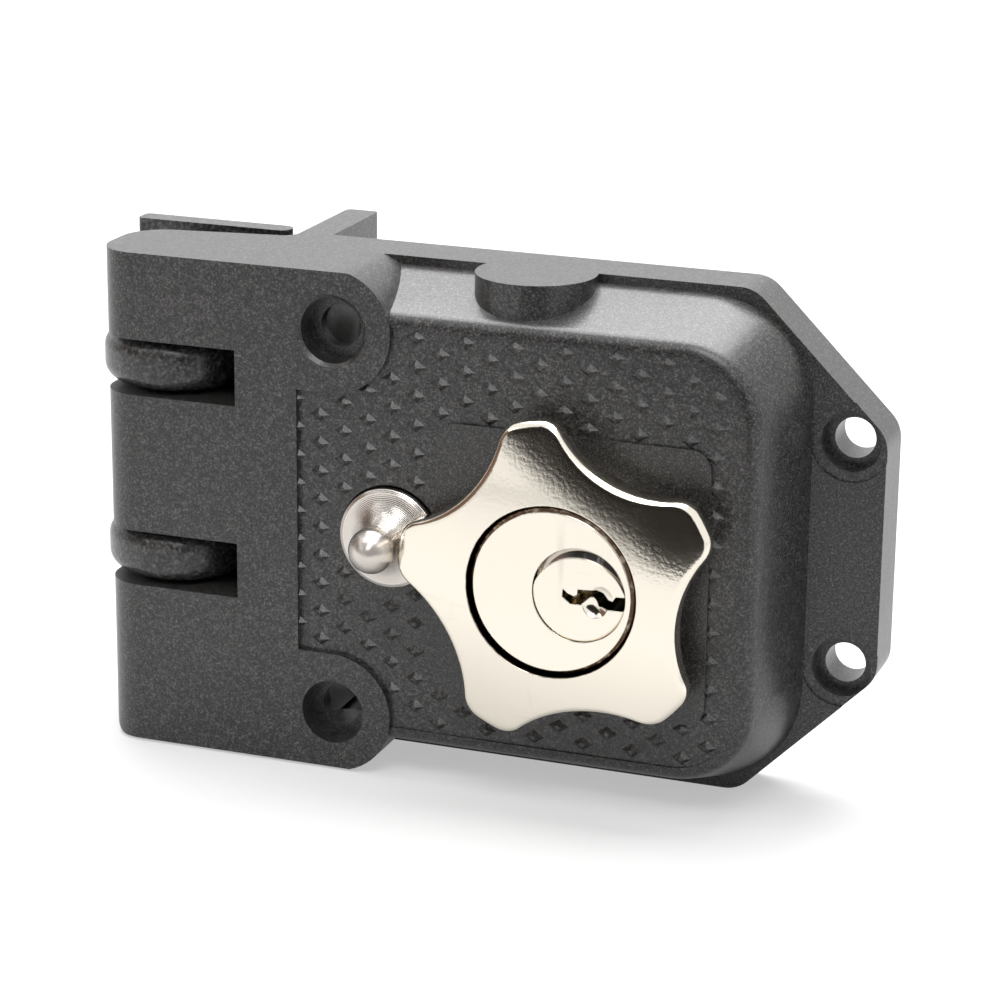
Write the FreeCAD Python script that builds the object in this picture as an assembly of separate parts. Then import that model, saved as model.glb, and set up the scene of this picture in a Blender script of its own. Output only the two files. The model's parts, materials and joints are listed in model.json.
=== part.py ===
import FreeCAD, Part
import math
import os

# Surface gate lock with two interlocking knuckle slots, a strike with two eyes,
# vertical bolt pins, a five-lobed thumbturn that carries a key cylinder, and a
# push button that blocks the bolt. Lengths are millimetres, angles are degrees.
# Layout frame: X from the left end of the case, Y from the front face backwards,
# Z from mid-height. At export each piece moves so that the origin is where the
# thumbturn's axis meets the mounting face, with +Z up and the front towards -Y.

# Case
case_width = 117.2
case_height = 76.2
case_depth = 22.6
flange_thick = 8.7
case_wall = 2.8
front_wall = 3.0
flange_end_half = 18.0
flange_corner_r = 5.0

# Knuckle block at the left end
block_front_r = 6.0
block_rear_r = 6.5
block_tail_rise = 5.9
block_tail_lean = 1.1
block_right = 32.5
block_foot_r = 3.4
lip_x = 23.7
lip_thick = 5.2
lip_reach = 18.0
lip_root_rise = 3.0
lip_root_r = 2.5
slot_depth = 22.7
slot_height = 8.5
slot_upper_z = 20.7
slot_lower_z = -9.0

# Raised housing
dome_y = 0.6
dome_foot_inset = 1.3
dome_draft = 4.5
dome_end_inset = 10.8
dome_corner_r = 16.0
dome_edge_r = 2.4
housing_lap = 6.0
field_sink = 0.3
field_border = 1.7
field_corner_r = 3.0
pad_size = 41.1
pad_rise = 0.5
pad_corner_r = 3.0
half_round_r = 8.9
half_round_x = 65.3
half_round_y = 11.5
half_round_root = 2.5

# Diamond studs on the field
diamond_pitch_x = 3.752
diamond_pitch_z = 2.161
diamond_first_x = 32.132
diamond_first_z = 31.582
diamond_columns = 19
diamond_rows = 30
diamond_half_x = 1.5
diamond_half_z = 1.05
diamond_rise = 0.6
diamond_top = 0.3

# Mounting holes
block_hole_x = 38.0
block_hole_inset = 8.8
block_hole_r = 3.15
block_bore_r = 4.9
block_bore_depth = 4.0
block_seat_r = 6.4
block_seat_thick = 2.0
lobe_r = 9.2
flange_hole_from_end = 5.3
flange_hole_inset = 1.0
flange_hole_r = 3.0
flange_bore_r = 4.4
flange_bore_depth = 3.0
flange_spot_r = 5.9
flange_spot_depth = 0.4

# Bolt pins, carriage and throw
bolt_x = 9.3
bolt_y = 10.2
bolt_r = 4.5
bolt_clear = 0.05
bolt_spigot_r = 2.8
bolt_top_gap = 0.7
bolt_top_chamfer = 0.6
throw = 16.0
arm_thick = 3.0
arm_width = 5.0
arm_gap = 0.25
knuckle_web = 0.85
leg_x = 32.0
leg_thick = 2.4
plate_thick = 2.5
plate_back_gap = 1.0
plate_post_gap = 2.75
plate_top = 4.0
bore_end_gap = 0.9

# Thumbturn
knob_x = 74.95
knob_z = -3.1
turn = 90.0
star_front = 8.4
star_thick = 4.8
star_lobes = 5
star_tip_r = 23.5
star_valley_r = 17.3
star_hollow_r = 15.0
star_corner_r = 3.6
star_edge = 1.0
star_first_angle = 98.0
star_flat_r = 13.8
star_drop = 1.0
hub_over = 1.5
barrel_r = 15.0
barrel_clear = 0.05
barrel_wall = 2.5
hub_gap = 0.3
barrel_floor = 3.05
collar_wall = 5.0
washer_thick = 0.5
hub_disc_over = 2.0
hub_disc_thick = 2.45
crank_pin_r = 1.7
crank_head_r = 2.3
roller_r = 2.5
roller_clear = 0.05
fork_clear = 0.45
fork_depth = 8.0
fork_front_gap = 0.4
hub_screw_inset = 2.5
hub_screw_r = 1.2
hub_screw_head_r = 2.4
set_screw_r = 1.4
set_screw_y = -1.8
spigot_r = 5.0
tail_slot_long = 8.0
tail_slot_wide = 2.2
tail_slot_deep = 5.0
tail_hole_r = 6.5

# Key cylinder
shell_recess = 0.4
shell_chamfer = 0.75
shell_fit = 0.03
plug_offset = 4.1
plug_r = 6.1
plug_clear = 0.05
plug_head_r = 6.9
plug_head_long = 3.0
cam_space = 1.6
keyway_web = 1.8
insert_drop = 1.75
insert_inner_r = 7.25
insert_deep = 2.2
insert_slope = 0.8
pin_count = 4
pin_share = 0.43
pin_first = 5.8
pin_last = 3.8
pin_shear_gap = 0.35
key_pin_ends = (1.9, 1.2, 0.5, 1.6)
driver_long = 3.0
spring_wall = 0.35
cover_thick = 1.0
cam_r = 6.8
cam_thick = 1.4
cam_pin_r = 1.0
cam_throw_r = 2.2
cam_screw_r = 0.8
cam_screw_head_r = 1.3
cam_screw_at = 3.8
dog_width = 7.8
dog_thick = 2.3
dog_back = 0.5
dog_slot_clear = 0.14

# Zigzag keyway, across and up from the plug's axis
keyway = (
    (-2.35, 0.75), (-1.6, 0.15), (-0.7, -0.15), (-0.2, 0.1), (-0.15, 0.9),
    (2.6, 1.05), (3.5, 0.65), (4.3, -0.25), (5.0, -0.3), (5.5, 0.45), (8.0, 0.6),
    (8.0, -1.5), (4.4, -1.6), (2.8, -1.45), (2.55, -0.75), (2.1, -0.15),
    (1.6, -0.15), (0.9, -0.75), (0.4, -1.3), (-1.2, -1.35), (-2.45, -0.4),
)

# Push button
button_x = 46.9
button_z = -0.9
button_r = 7.5
button_gap = 0.3
button_stroke = 3.5
button_rim_y = -0.2
button_back_y = 1.2
button_flare_r = 4.5
button_floor_gap = 0.4
ball_r = 3.4
ball_y = -6.2
stem_r = 2.2
stem_clear = 0.1
stem_end_gap = 0.6
stem_tenon_r = 1.6
stem_tenon = 3.4
guide_wall = 2.2
neck_wall = 2.4
neck_long = 3.0
clip_r = 4.2
clip_thick = 0.8
clip_groove = 0.5
detent_y = 8.3
detent_thick = 0.8
detent_r = 3.4
hole_over_stem = 0.4

# Back plate and its screws
back_thick = 1.5
back_ledge = 1.6
back_clear = 0.15
screw_r = 1.45
screw_pilot_r = 1.3
screw_head_r = 2.8
screw_long = 8.0
post_wall = 2.0
post_from_hole = 14.0
post_end_gap = 8.4
post_side_gap = 6.0
stud_hub_gap = 0.45
stud_r = 2.0
stud_clear = 0.1
stud_head_r = 3.0
stud_rivet_r = 1.5
stop_width = 2.9
stop_front = 9.0
stop_bottom = 20.3
stop_top_gap = 0.3

# Strike
strike_left = -3.2
strike_right = 21.9
strike_rise = 1.2
strike_thick = 3.5
strike_over = 0.2
strike_end_r = 1.7
eye_r = 10.2
eye_y = 11.6
eye_side_gap = 0.45
eye_rim_r = 2.6
eye_hole_clear = 1.2
strike_hole_inset = 7.1
strike_hole_r = 2.4
strike_sink_r = 4.6

# Values that follow from those above
half = case_height / 2
flange_y = case_depth - flange_thick
field_y = dome_y + field_sink
pad_y = field_y - pad_rise
inner_y = field_y + front_wall
back_y = case_depth - back_thick
block_tail_y = case_depth - block_tail_rise
lip_root_y = case_depth - lip_root_rise
strike_front = case_depth - strike_rise
block_hole_z = half - block_hole_inset
strike_hole_z = half - strike_hole_inset
flange_hole_z = flange_end_half - flange_hole_inset
flange_hole_x = case_width - flange_hole_from_end
dome_foot_z = half - dome_foot_inset
dome_foot_x = case_width - dome_end_inset
plate_rear = back_y - plate_back_gap
plate_y = plate_rear - plate_thick
hub_rear = plate_y - fork_front_gap
barrel_end = hub_rear - hub_disc_thick
bore_floor = barrel_end - barrel_floor
collar_end = barrel_end - washer_thick - 0.05
hub_r = barrel_r + hub_over
collar_r = barrel_r + collar_wall
hub_disc_r = barrel_r + hub_disc_over
stud_x = knob_x - hub_disc_r - stud_head_r - stud_hub_gap
shell_r = barrel_r - barrel_wall
hub_screw_at = shell_r - hub_screw_inset
shell_front = shell_recess - star_front
shell_rear = bore_floor - 0.1
plug_x = knob_x + plug_offset
plug_end = shell_rear - cam_space
keyway_end = plug_end - keyway_web
pin_pitch = (plug_end - pin_last - shell_front - pin_first) / (pin_count - 1)
pin_r = pin_share * pin_pitch
seat_y = button_back_y + button_stroke + button_floor_gap
well_floor = seat_y + 2.0
neck_end = well_floor + neck_long
stem_end = plate_y - stem_end_gap
post_r = screw_r + post_wall
crank_r = throw / (2 * math.sin(math.radians(turn / 2)))
dog_travel = 2 * cam_throw_r * math.sin(math.radians(turn / 2))
slots = (slot_upper_z, slot_lower_z)
cavity_x = leg_x - 0.5
cavity_z = dome_foot_z - case_wall
plate_low = cavity_z - post_side_gap - post_r - plate_post_gap
cavity_end = dome_foot_x - case_wall

V = FreeCAD.Vector
Y_AXIS = V(0, 1, 0)
Z_AXIS = V(0, 0, 1)


def on_front(u, v, level):
    """Point of a drawing seen from the front, at depth level."""
    return V(u, level, v)


def on_top(u, v, level):
    """Point of a drawing seen from above, at height level."""
    return V(u, v, level)


def outline(corners, place, level):
    """Closed wire through corners (u, v, radius), each rounded by a tangent arc."""
    points = [V(u, v, 0) for u, v, r in corners]
    spans = []
    for i, (u, v, r) in enumerate(corners):
        here = points[i]
        to_last = (points[i - 1] - here).normalize()
        to_next = (points[(i + 1) % len(points)] - here).normalize()
        if r <= 0:
            spans.append((here, None, here))
            continue
        half_angle = to_last.getAngle(to_next) / 2
        reach = r / math.tan(half_angle)
        middle = (to_last + to_next).normalize()
        crest = here + middle * (r / math.sin(half_angle) - r)
        spans.append((here + to_last * reach, crest, here + to_next * reach))
    edges = []
    for i, (start, crest, end) in enumerate(spans):
        if crest is not None:
            edges.append(Part.Arc(*[place(p.x, p.y, level) for p in (start, crest, end)]).toShape())
        following = spans[(i + 1) % len(spans)][0]
        if (following - end).Length > 1e-6:
            a = place(end.x, end.y, level)
            b = place(following.x, following.y, level)
            edges.append(Part.LineSegment(a, b).toShape())
    return Part.Wire(edges)


def slab_y(corners, y0, y1):
    """Prism of a front-view outline between two depths."""
    return Part.Face(outline(corners, on_front, y0)).extrude(V(0, y1 - y0, 0))


def slab_z(corners, z0, z1):
    """Prism of a top-view outline between two heights."""
    return Part.Face(outline(corners, on_top, z0)).extrude(V(0, 0, z1 - z0))


def rectangle(u0, u1, v0, v1, left_r=0.0, right_r=0.0):
    """Corners of a rectangle with its own radius at the left and at the right."""
    return [(u0, v0, left_r), (u1, v0, right_r), (u1, v1, right_r), (u0, v1, left_r)]


def box(x0, x1, y0, y1, z0, z1):
    return Part.makeBox(x1 - x0, y1 - y0, z1 - z0, V(x0, y0, z0))


def rod_y(x, z, r, y0, y1):
    return Part.makeCylinder(r, y1 - y0, V(x, y0, z), Y_AXIS)


def rod_x(y, z, r, x0, x1):
    return Part.makeCylinder(r, x1 - x0, V(x0, y, z), V(1, 0, 0))


def rod_z(x, y, r, z0, z1):
    return Part.makeCylinder(r, z1 - z0, V(x, y, z0), Z_AXIS)


def cone_y(x, z, r0, r1, y0, y1):
    return Part.makeCone(r0, r1, y1 - y0, V(x, y0, z), Y_AXIS)


def turned(x, z, edges):
    """Solid turned about the axis along Y through (x, z), from half-section edges."""
    face = Part.Face(Part.Wire(edges))
    return face.revolve(V(x, 0, z), Y_AXIS, 360)


def lathe(x, z, profile):
    """Turned solid from a half section of (radius, depth) corners."""
    points = [V(x + r, y, z) for r, y in profile]
    return turned(x, z, Part.makePolygon(points + points[:1]).Edges)


def fillet_where(shape, radius, chosen):
    """Round the edges that chosen accepts."""
    edges = [e for e in shape.Edges if chosen(e)]
    return shape.makeFillet(radius, edges)


def is_flat_at(edge, axis, value):
    """True where the whole edge lies at one value along axis 0, 1 or 2."""
    low = (edge.BoundBox.XMin, edge.BoundBox.YMin, edge.BoundBox.ZMin)[axis]
    high = (edge.BoundBox.XMax, edge.BoundBox.YMax, edge.BoundBox.ZMax)[axis]
    return abs(low - value) < 1e-3 and abs(high - value) < 1e-3


def save(name, *solids):
    """Write one sub-part, moved from the layout frame to the part's own frame."""
    shape = Part.makeCompound(list(solids)) if len(solids) > 1 else solids[0]
    shape = shape.copy()
    shape.translate(V(-knob_x, -case_depth, -knob_z))
    shape.exportStep("parts/" + name + ".step")


def around(angle, radius, x=knob_x, z=knob_z):
    """Place at an angle and a radius about an axis, counted from +X towards +Z."""
    a = math.radians(angle)
    return x + radius * math.cos(a), z + radius * math.sin(a)


def arc_at(centre, radius, angles, level):
    """Arc about centre through three angles, drawn at depth level."""
    places = [around(a, radius, centre[0], centre[1]) for a in angles]
    return Part.Arc(*[V(x, level, z) for x, z in places]).toShape()


def cut_all(shape, cuts):
    for cut in cuts:
        shape = shape.cut(cut)
    return shape


def sunk_screw(x, z, shank_r, head_r, tip_y, head_y, slot_wide):
    """Countersunk screw along Y with its slotted head flush at depth head_y."""
    neck_y = head_y - (head_r - shank_r)
    screw = rod_y(x, z, shank_r, tip_y, neck_y).fuse(cone_y(x, z, shank_r, head_r, neck_y, head_y))
    half_slot = slot_wide / 2
    return screw.cut(box(x - head_r, x + head_r, head_y - slot_wide, head_y + 1,
                         z - half_slot, z + half_slot))


def sunk_hole(x, z, hole_r, head_r, front_y, head_y):
    """Cutter for a countersunk hole that opens backwards at depth head_y."""
    sink = cone_y(x, z, hole_r, head_r, head_y - (head_r - hole_r), head_y)
    return rod_y(x, z, hole_r, front_y, head_y).fuse(sink)


def slot_floor(middle_z):
    return middle_z - slot_height / 2


def arm_low(middle_z):
    """Underside of a carriage arm when the bolt is drawn back."""
    return slot_floor(middle_z) - knuckle_web - arm_gap - throw - arm_thick


def dome_half(y):
    """Half height of the housing's outside at depth y."""
    return dome_foot_z - dome_draft * (flange_y - y) / (flange_y - dome_y)


def dome_right(y):
    """Right end of the housing's outside at depth y."""
    return dome_foot_x - dome_draft * (flange_y - y) / (flange_y - dome_y)


# Case

def block_plan():
    """Top view of the knuckle block with the lip that hooks over the gate's edge."""
    tail = case_depth + lip_reach
    lip_end = lip_x + lip_thick
    return [
        (0, 0, block_front_r),
        (block_right, 0, 0),
        (block_right, case_depth, 0),
        (lip_end, case_depth, 0),
        (lip_end, tail, 0.8),
        (lip_x, tail, 0.8),
        (lip_x, lip_root_y, lip_root_r),
        (0, block_tail_y - block_tail_lean, block_rear_r),
    ]


def knuckle_block():
    block = slab_z(block_plan(), -half, half)
    r = block_foot_r
    corner = box(-1, r, -1, case_depth, -half - 1, -half + r)
    return block.cut(corner.cut(rod_y(r, -half + r, r, -1, case_depth)))


def flange_plate():
    chamfer = half - flange_end_half
    corners = [
        (lip_x + lip_thick / 2, -half, 0),
        (case_width - chamfer, -half, flange_corner_r),
        (case_width, -flange_end_half, flange_corner_r),
        (case_width, flange_end_half, flange_corner_r),
        (case_width - chamfer, half, flange_corner_r),
        (lip_x + lip_thick / 2, half, 0),
    ]
    return slab_y(corners, flange_y, case_depth)


def drafted_body(near, far, shrink, left):
    """Drafted box between two depths, with its right corners as cones."""
    middle_x = dome_foot_x - dome_corner_r
    middle_z = dome_foot_z - dome_corner_r
    z_near = dome_half(near) - shrink
    z_far = dome_half(far) - shrink
    x_near = middle_x + z_near - middle_z
    x_far = middle_x + z_far - middle_z
    side = [V(left, near, -z_near), V(left, far, -z_far), V(left, far, z_far), V(left, near, z_near)]
    plan = [V(left, near, -middle_z), V(x_near, near, -middle_z),
            V(x_far, far, -middle_z), V(left, far, -middle_z)]
    tall = Part.Face(Part.makePolygon(side + side[:1])).extrude(V(middle_x - left, 0, 0))
    wide = Part.Face(Part.makePolygon(plan + plan[:1])).extrude(V(0, 0, 2 * middle_z))
    corners = [cone_y(middle_x, z, z_near - middle_z, z_far - middle_z, near, far)
               for z in (-middle_z, middle_z)]
    return tall.multiFuse([wide] + corners).removeSplitter()


def housing():
    """Drafted housing with a rounded front edge, a sunk field and a plain pad."""
    shape = drafted_body(dome_y, flange_y + 0.5, 0, block_right - housing_lap)
    front = [e for e in shape.Edges if is_flat_at(e, 1, dome_y)]
    front = [e for e in front if e.BoundBox.XMax > block_right]
    shape = shape.makeFillet(dome_edge_r, front)
    z = dome_half(dome_y) - field_border
    right = dome_right(dome_y) - field_border
    corner_r = dome_corner_r - dome_draft - field_border
    field = rectangle(block_right, right, -z, z, field_corner_r, corner_r)
    shape = shape.cut(slab_y(field, dome_y - 1, field_y))
    s = pad_size / 2
    pad = rectangle(knob_x - s, knob_x + s, knob_z - s, knob_z + s, pad_corner_r, pad_corner_r)
    return shape.fuse(slab_y(pad, pad_y, inner_y))


def diamond(x, z):
    """Low four-sided stud that stands on the field."""
    wires = []
    for y, share in ((field_y + 0.2, 1.25), (field_y - diamond_rise, diamond_top)):
        a = diamond_half_x * share
        b = diamond_half_z * share
        points = [V(x - a, y, z), V(x, y, z - b), V(x + a, y, z), V(x, y, z + b)]
        wires.append(Part.makePolygon(points + points[:1]))
    return Part.makeLoft(wires, True, True)


def diamond_fits(x, z):
    """True where a stud's middle lies on the open field."""
    middle_x = dome_foot_x - dome_corner_r
    middle_z = dome_foot_z - dome_corner_r
    edge_z = dome_half(dome_y) - field_border - 0.6 * diamond_half_z
    edge_x = dome_right(dome_y) - field_border - 0.6 * diamond_half_x
    if x < block_right - diamond_half_x / 2 or x > edge_x or abs(z) > edge_z:
        return False
    reach = pad_size / 2 + 0.3
    if abs(x - knob_x) < reach and abs(z - knob_z) < reach:
        return False
    if math.hypot(x - button_x, z - button_z) < button_r + button_gap + diamond_half_x:
        return False
    if math.hypot(x - block_hole_x, abs(z) - block_hole_z) < lobe_r + 0.4:
        return False
    if x < block_hole_x and abs(z) > block_hole_z - lobe_r - 0.4:
        return False
    if x > middle_x and abs(z) > middle_z:
        return math.hypot(x - middle_x, abs(z) - middle_z) < edge_x - middle_x
    return True


def diamonds():
    studs = []
    for column in range(diamond_columns):
        for row in range(diamond_rows + 1):
            x = diamond_first_x + column * diamond_pitch_x
            z = diamond_first_z - row * diamond_pitch_z
            if (column + row) % 2 == 0 and diamond_fits(x, z):
                studs.append(diamond(x, z))
    return studs


def lobes():
    """Round ears of the block that carry the two front mounting holes."""
    pieces = []
    for side in (1, -1):
        z = side * block_hole_z
        disc = rod_y(block_hole_x, z, lobe_r, 0, flange_y + 0.5)
        low = min(side * half, side * (block_hole_z - lobe_r))
        high = max(side * half, side * (block_hole_z - lobe_r))
        ear = box(block_right - 1, block_hole_x, 0, flange_y + 0.5, low, high)
        limit = box(0, case_width, -1, case_depth, -half, half)
        pieces.append(disc.fuse(ear).common(limit))
    return pieces


def half_round():
    """Half-round boss on the top of the housing."""
    low = dome_half(half_round_y - half_round_r) - half_round_root
    return rod_z(half_round_x, half_round_y, half_round_r, low, half)


def cavity():
    """Space behind the front wall for the bolt work, open at the back."""
    space = drafted_body(inner_y, flange_y, case_wall, cavity_x)
    straight = rectangle(cavity_x, cavity_end, -cavity_z, cavity_z, 0.0, dome_corner_r - case_wall)
    space = space.fuse(slab_y(straight, flange_y, case_depth + 1))
    well_top = slot_floor(slot_upper_z)
    well_y = bolt_y - arm_width / 2 - 0.5
    well = box(cavity_x, leg_x + leg_thick + 1.5, well_y, flange_y + 1, -cavity_z, well_top)
    return space.fuse(well)


def back_plate_outline(clear=0.0):
    grow = back_ledge - clear
    z = cavity_z + grow
    corner_r = dome_corner_r - case_wall + grow
    return rectangle(cavity_x - grow, cavity_end + grow, -z, z, grow, corner_r)


def plate_screw_places():
    """Corners of the back plate where its screws enter posts of the case."""
    left = block_hole_x + post_from_hole
    right = cavity_end - post_end_gap
    z = cavity_z - post_side_gap
    return [(left, z), (left, -z), (right, z), (right, -z)]


def collar_notch(angle):
    """Notch in the collar that the locking dog enters."""
    notch = box(knob_x + barrel_r - 1.5, knob_x + barrel_r + dog_travel + 0.4,
                bore_floor - 0.1, barrel_end + 1,
                knob_z - dog_width / 2 - 0.25, knob_z + dog_width / 2 + 0.25)
    return notch.rotate(V(knob_x, 0, knob_z), Y_AXIS, angle)


def bolt_passages():
    """Bore of the bolt pins and the windows that the carriage's arms move in."""
    top = slot_floor(slot_upper_z) - bolt_top_gap + throw + bore_end_gap
    low = arm_low(slot_lower_z) - arm_gap
    cuts = [rod_z(bolt_x, bolt_y, bolt_r + bolt_clear, low, top)]
    side = arm_width / 2 + arm_gap
    for middle_z in slots:
        z0 = arm_low(middle_z) - arm_gap
        z1 = z0 + arm_thick + throw + 2 * arm_gap
        cuts.append(box(bolt_x, cavity_x + 1, bolt_y - side, bolt_y + side, z0, z1))
    return cuts


def mounting_holes():
    cuts = []
    for side in (1, -1):
        x, z = block_hole_x, side * block_hole_z
        cuts.append(rod_y(x, z, block_hole_r, -1, case_depth))
        cuts.append(rod_y(x, z, block_bore_r, -1, block_bore_depth))
        x, z = flange_hole_x, side * flange_hole_z
        cuts.append(rod_y(x, z, flange_hole_r, 0, case_depth + 1))
        cuts.append(rod_y(x, z, flange_bore_r, 0, flange_y + flange_bore_depth))
        cuts.append(rod_y(x, z, flange_spot_r, 0, flange_y + flange_spot_depth))
    upper = block_hole_z
    cuts.append(cone_y(block_hole_x, upper, block_bore_r + 0.6, block_bore_r, -0.001, 0.5))
    return cuts


def build_case():
    shell = flange_plate().multiFuse([housing(), knuckle_block(), half_round()] + lobes())
    shell = shell.cut(cavity())
    collar = rod_y(knob_x, knob_z, collar_r, inner_y - 0.5, collar_end)
    guide = rod_y(button_x, button_z, button_r + button_gap + guide_wall, inner_y - 0.5, well_floor)
    neck = rod_y(button_x, button_z, stem_r + neck_wall, well_floor - 0.5, neck_end)
    posts = [rod_y(x, z, post_r, inner_y + 2, back_y) for x, z in plate_screw_places()]
    seats = [rod_y(block_hole_x, z, block_seat_r, inner_y - 0.5, block_bore_depth + block_seat_thick)
             for z in (-block_hole_z, block_hole_z)]
    shell = shell.multiFuse([collar, guide, neck] + posts + seats + diamonds())
    rebate = slab_y(back_plate_outline(), back_y, case_depth + 1)
    cuts = [rebate]
    cuts.append(rod_y(knob_x, knob_z, barrel_r + barrel_clear, -1, case_depth))
    cuts.append(rod_y(button_x, button_z, button_r + button_gap, -1, seat_y))
    cuts.append(rod_y(button_x, button_z, stem_r + stem_clear, -1, case_depth))
    cuts += [collar_notch(0), collar_notch(turn)]
    cuts.append(rod_y(button_x, button_z, detent_r, detent_y, detent_y + detent_thick))
    cuts += [rod_y(x, z, screw_pilot_r, back_y - screw_long - 1, case_depth)
             for x, z in plate_screw_places()]
    cuts += mounting_holes()
    cuts += bolt_passages()
    for middle_z in slots:
        low = slot_floor(middle_z)
        cuts.append(box(-1, slot_depth, -1, case_depth, low, low + slot_height))
    return cut_all(shell, cuts)


# Back plate and the pieces fixed to it

def build_back_plate():
    plate = slab_y(back_plate_outline(back_clear), back_y, case_depth)
    cuts = [rod_y(knob_x, knob_z, tail_hole_r, back_y - 1, case_depth + 1)]
    for side in (1, -1):
        cuts.append(rod_y(block_hole_x, side * block_hole_z, block_hole_r, back_y - 1, case_depth + 1))
    for x, z in plate_screw_places():
        cuts.append(sunk_hole(x, z, screw_pilot_r, screw_head_r, back_y - 1, case_depth))
    cuts.append(rod_y(stud_x, button_z, stud_rivet_r, back_y - 1, case_depth + 1))
    return cut_all(plate, cuts)


def build_plate_screws():
    return [sunk_screw(x, z, screw_pilot_r, screw_head_r, back_y - screw_long, case_depth, 0.7)
            for x, z in plate_screw_places()]


def build_guide_stud():
    """Headed stud that keeps the carriage against the back plate."""
    head_y = plate_y - 0.2
    profile = [(0, head_y - 1.0), (stud_head_r, head_y - 1.0), (stud_head_r, head_y),
               (stud_r, head_y), (stud_r, back_y), (stud_rivet_r, back_y),
               (stud_rivet_r, case_depth), (0, case_depth)]
    return lathe(stud_x, button_z, profile)


def build_carriage_stop():
    """Block whose top follows the sloping wall of the housing."""
    top_front = dome_half(stop_front) - case_wall - stop_top_gap
    top_rear = cavity_z - stop_top_gap
    side = [V(cavity_x, stop_front, stop_bottom), V(cavity_x, stop_front, top_front),
            V(cavity_x, flange_y, top_rear), V(cavity_x, back_y, top_rear), V(cavity_x, back_y, stop_bottom)]
    return Part.Face(Part.makePolygon(side + side[:1])).extrude(V(stop_width, 0, 0))


def build_detent_ring():
    ring = rod_y(button_x, button_z, detent_r - 0.05, detent_y, detent_y + detent_thick)
    return ring.cut(rod_y(button_x, button_z, stem_r + stem_clear, detent_y - 1, detent_y + 2))


# Bolt

def build_carriage():
    """Bent plate with two arms that lift the bolt pins and a fork for the crank."""
    crank_x, crank_z = around(180 + turn / 2, crank_r)
    fork_left = knob_x - crank_r - roller_r - 0.5
    plate = box(leg_x, fork_left + fork_depth, plate_y, plate_rear, -plate_low, plate_top)
    near = bolt_y - arm_width / 2
    far = bolt_y + arm_width / 2
    shape = plate.fuse(box(leg_x, leg_x + leg_thick, near, plate_rear, arm_low(slot_lower_z), plate_top))
    for middle_z in slots:
        low = arm_low(middle_z)
        high = low + arm_thick
        arm = box(bolt_x, leg_x + leg_thick, near, far, low, high)
        arm = arm.fuse(rod_z(bolt_x, bolt_y, bolt_r - 0.1, low, high))
        shape = shape.fuse(arm.cut(rod_z(bolt_x, bolt_y, bolt_spigot_r, low - 1, high + 1)))
    fork_half = roller_r + fork_clear
    cuts = [box(fork_left, fork_left + fork_depth + 1, plate_y - 1, plate_rear + 1,
                crank_z - fork_half, crank_z + fork_half)]
    for drop in (0, throw):
        cuts.append(rod_y(button_x, button_z - drop, stem_r + hole_over_stem, plate_y - 1, plate_rear + 1))
    side = stud_r + stud_clear
    end = stud_r + 0.2
    run = rectangle(stud_x - side, stud_x + side, button_z - throw - end, button_z + end, 2.0, 2.0)
    cuts.append(slab_y(run, plate_y - 1, plate_rear + 1))
    return cut_all(shape.removeSplitter(), cuts)


def build_bolt_pins():
    pins = []
    for middle_z in slots:
        arm_top = arm_low(middle_z) + arm_thick
        top = slot_floor(middle_z) - bolt_top_gap
        pin = rod_z(bolt_x, bolt_y, bolt_r, arm_top, top)
        pin = pin.makeChamfer(bolt_top_chamfer, [e for e in pin.Edges if is_flat_at(e, 2, top)])
        pins.append(pin.fuse(rod_z(bolt_x, bolt_y, bolt_spigot_r, arm_top - arm_thick, arm_top)))
    return pins


# Thumbturn

def star_wire(level):
    """Five-lobed outline of tip, corner and hollow arcs that meet tangentially."""
    pitch = 360.0 / star_lobes
    corner_at = star_tip_r - star_corner_r
    hollow_at = star_valley_r + star_hollow_r
    reach = star_corner_r + star_hollow_r
    share = (corner_at ** 2 + hollow_at ** 2 - reach ** 2) / (2 * corner_at * hollow_at)
    spread = pitch / 2 - math.degrees(math.acos(share))
    lean = math.degrees(math.acos((reach ** 2 + hollow_at ** 2 - corner_at ** 2) / (2 * reach * hollow_at)))
    edges = []
    for i in range(star_lobes):
        tip = star_first_angle + i * pitch
        edges.append(arc_at((knob_x, knob_z), star_tip_r, (tip - spread, tip, tip + spread), level))
        hollow = tip + pitch / 2
        facing = hollow + 180
        edges.append(arc_at(around(hollow, hollow_at), star_hollow_r,
                            (facing - lean, facing, facing + lean), level))
        for side in (1, -1):
            start = tip + side * spread
            end = tip + side * (pitch / 2 + lean)
            edges.append(arc_at(around(start, corner_at), star_corner_r,
                                (start, (start + end) / 2, end), level))
    return Part.Wire(Part.__sortEdges__(edges))


def star_plate():
    """Star whose face slopes back beyond a flat middle, with its front edge broken."""
    front = -star_front
    rear = star_thick - star_front
    outer = star_tip_r + 1
    slope = star_drop / (star_tip_r - star_flat_r)
    profile = [(0, front), (star_flat_r, front), (outer, front + slope * (outer - star_flat_r)),
               (outer, rear), (0, rear)]
    plate = Part.Face(star_wire(front)).extrude(V(0, star_thick, 0))
    plate = plate.common(lathe(knob_x, knob_z, profile))

    def on_front_rim(edge):
        middle = edge.CenterOfMass
        away = math.hypot(middle.x - knob_x, middle.z - knob_z)
        return edge.BoundBox.YMax < (front + rear) / 2 and away > star_flat_r + 1
    return plate.makeChamfer(star_edge, [e for e in plate.Edges if on_front_rim(e)])


def hub_screw_places():
    return [around(angle, hub_screw_at) for angle in (90, 180, 270)]


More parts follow.
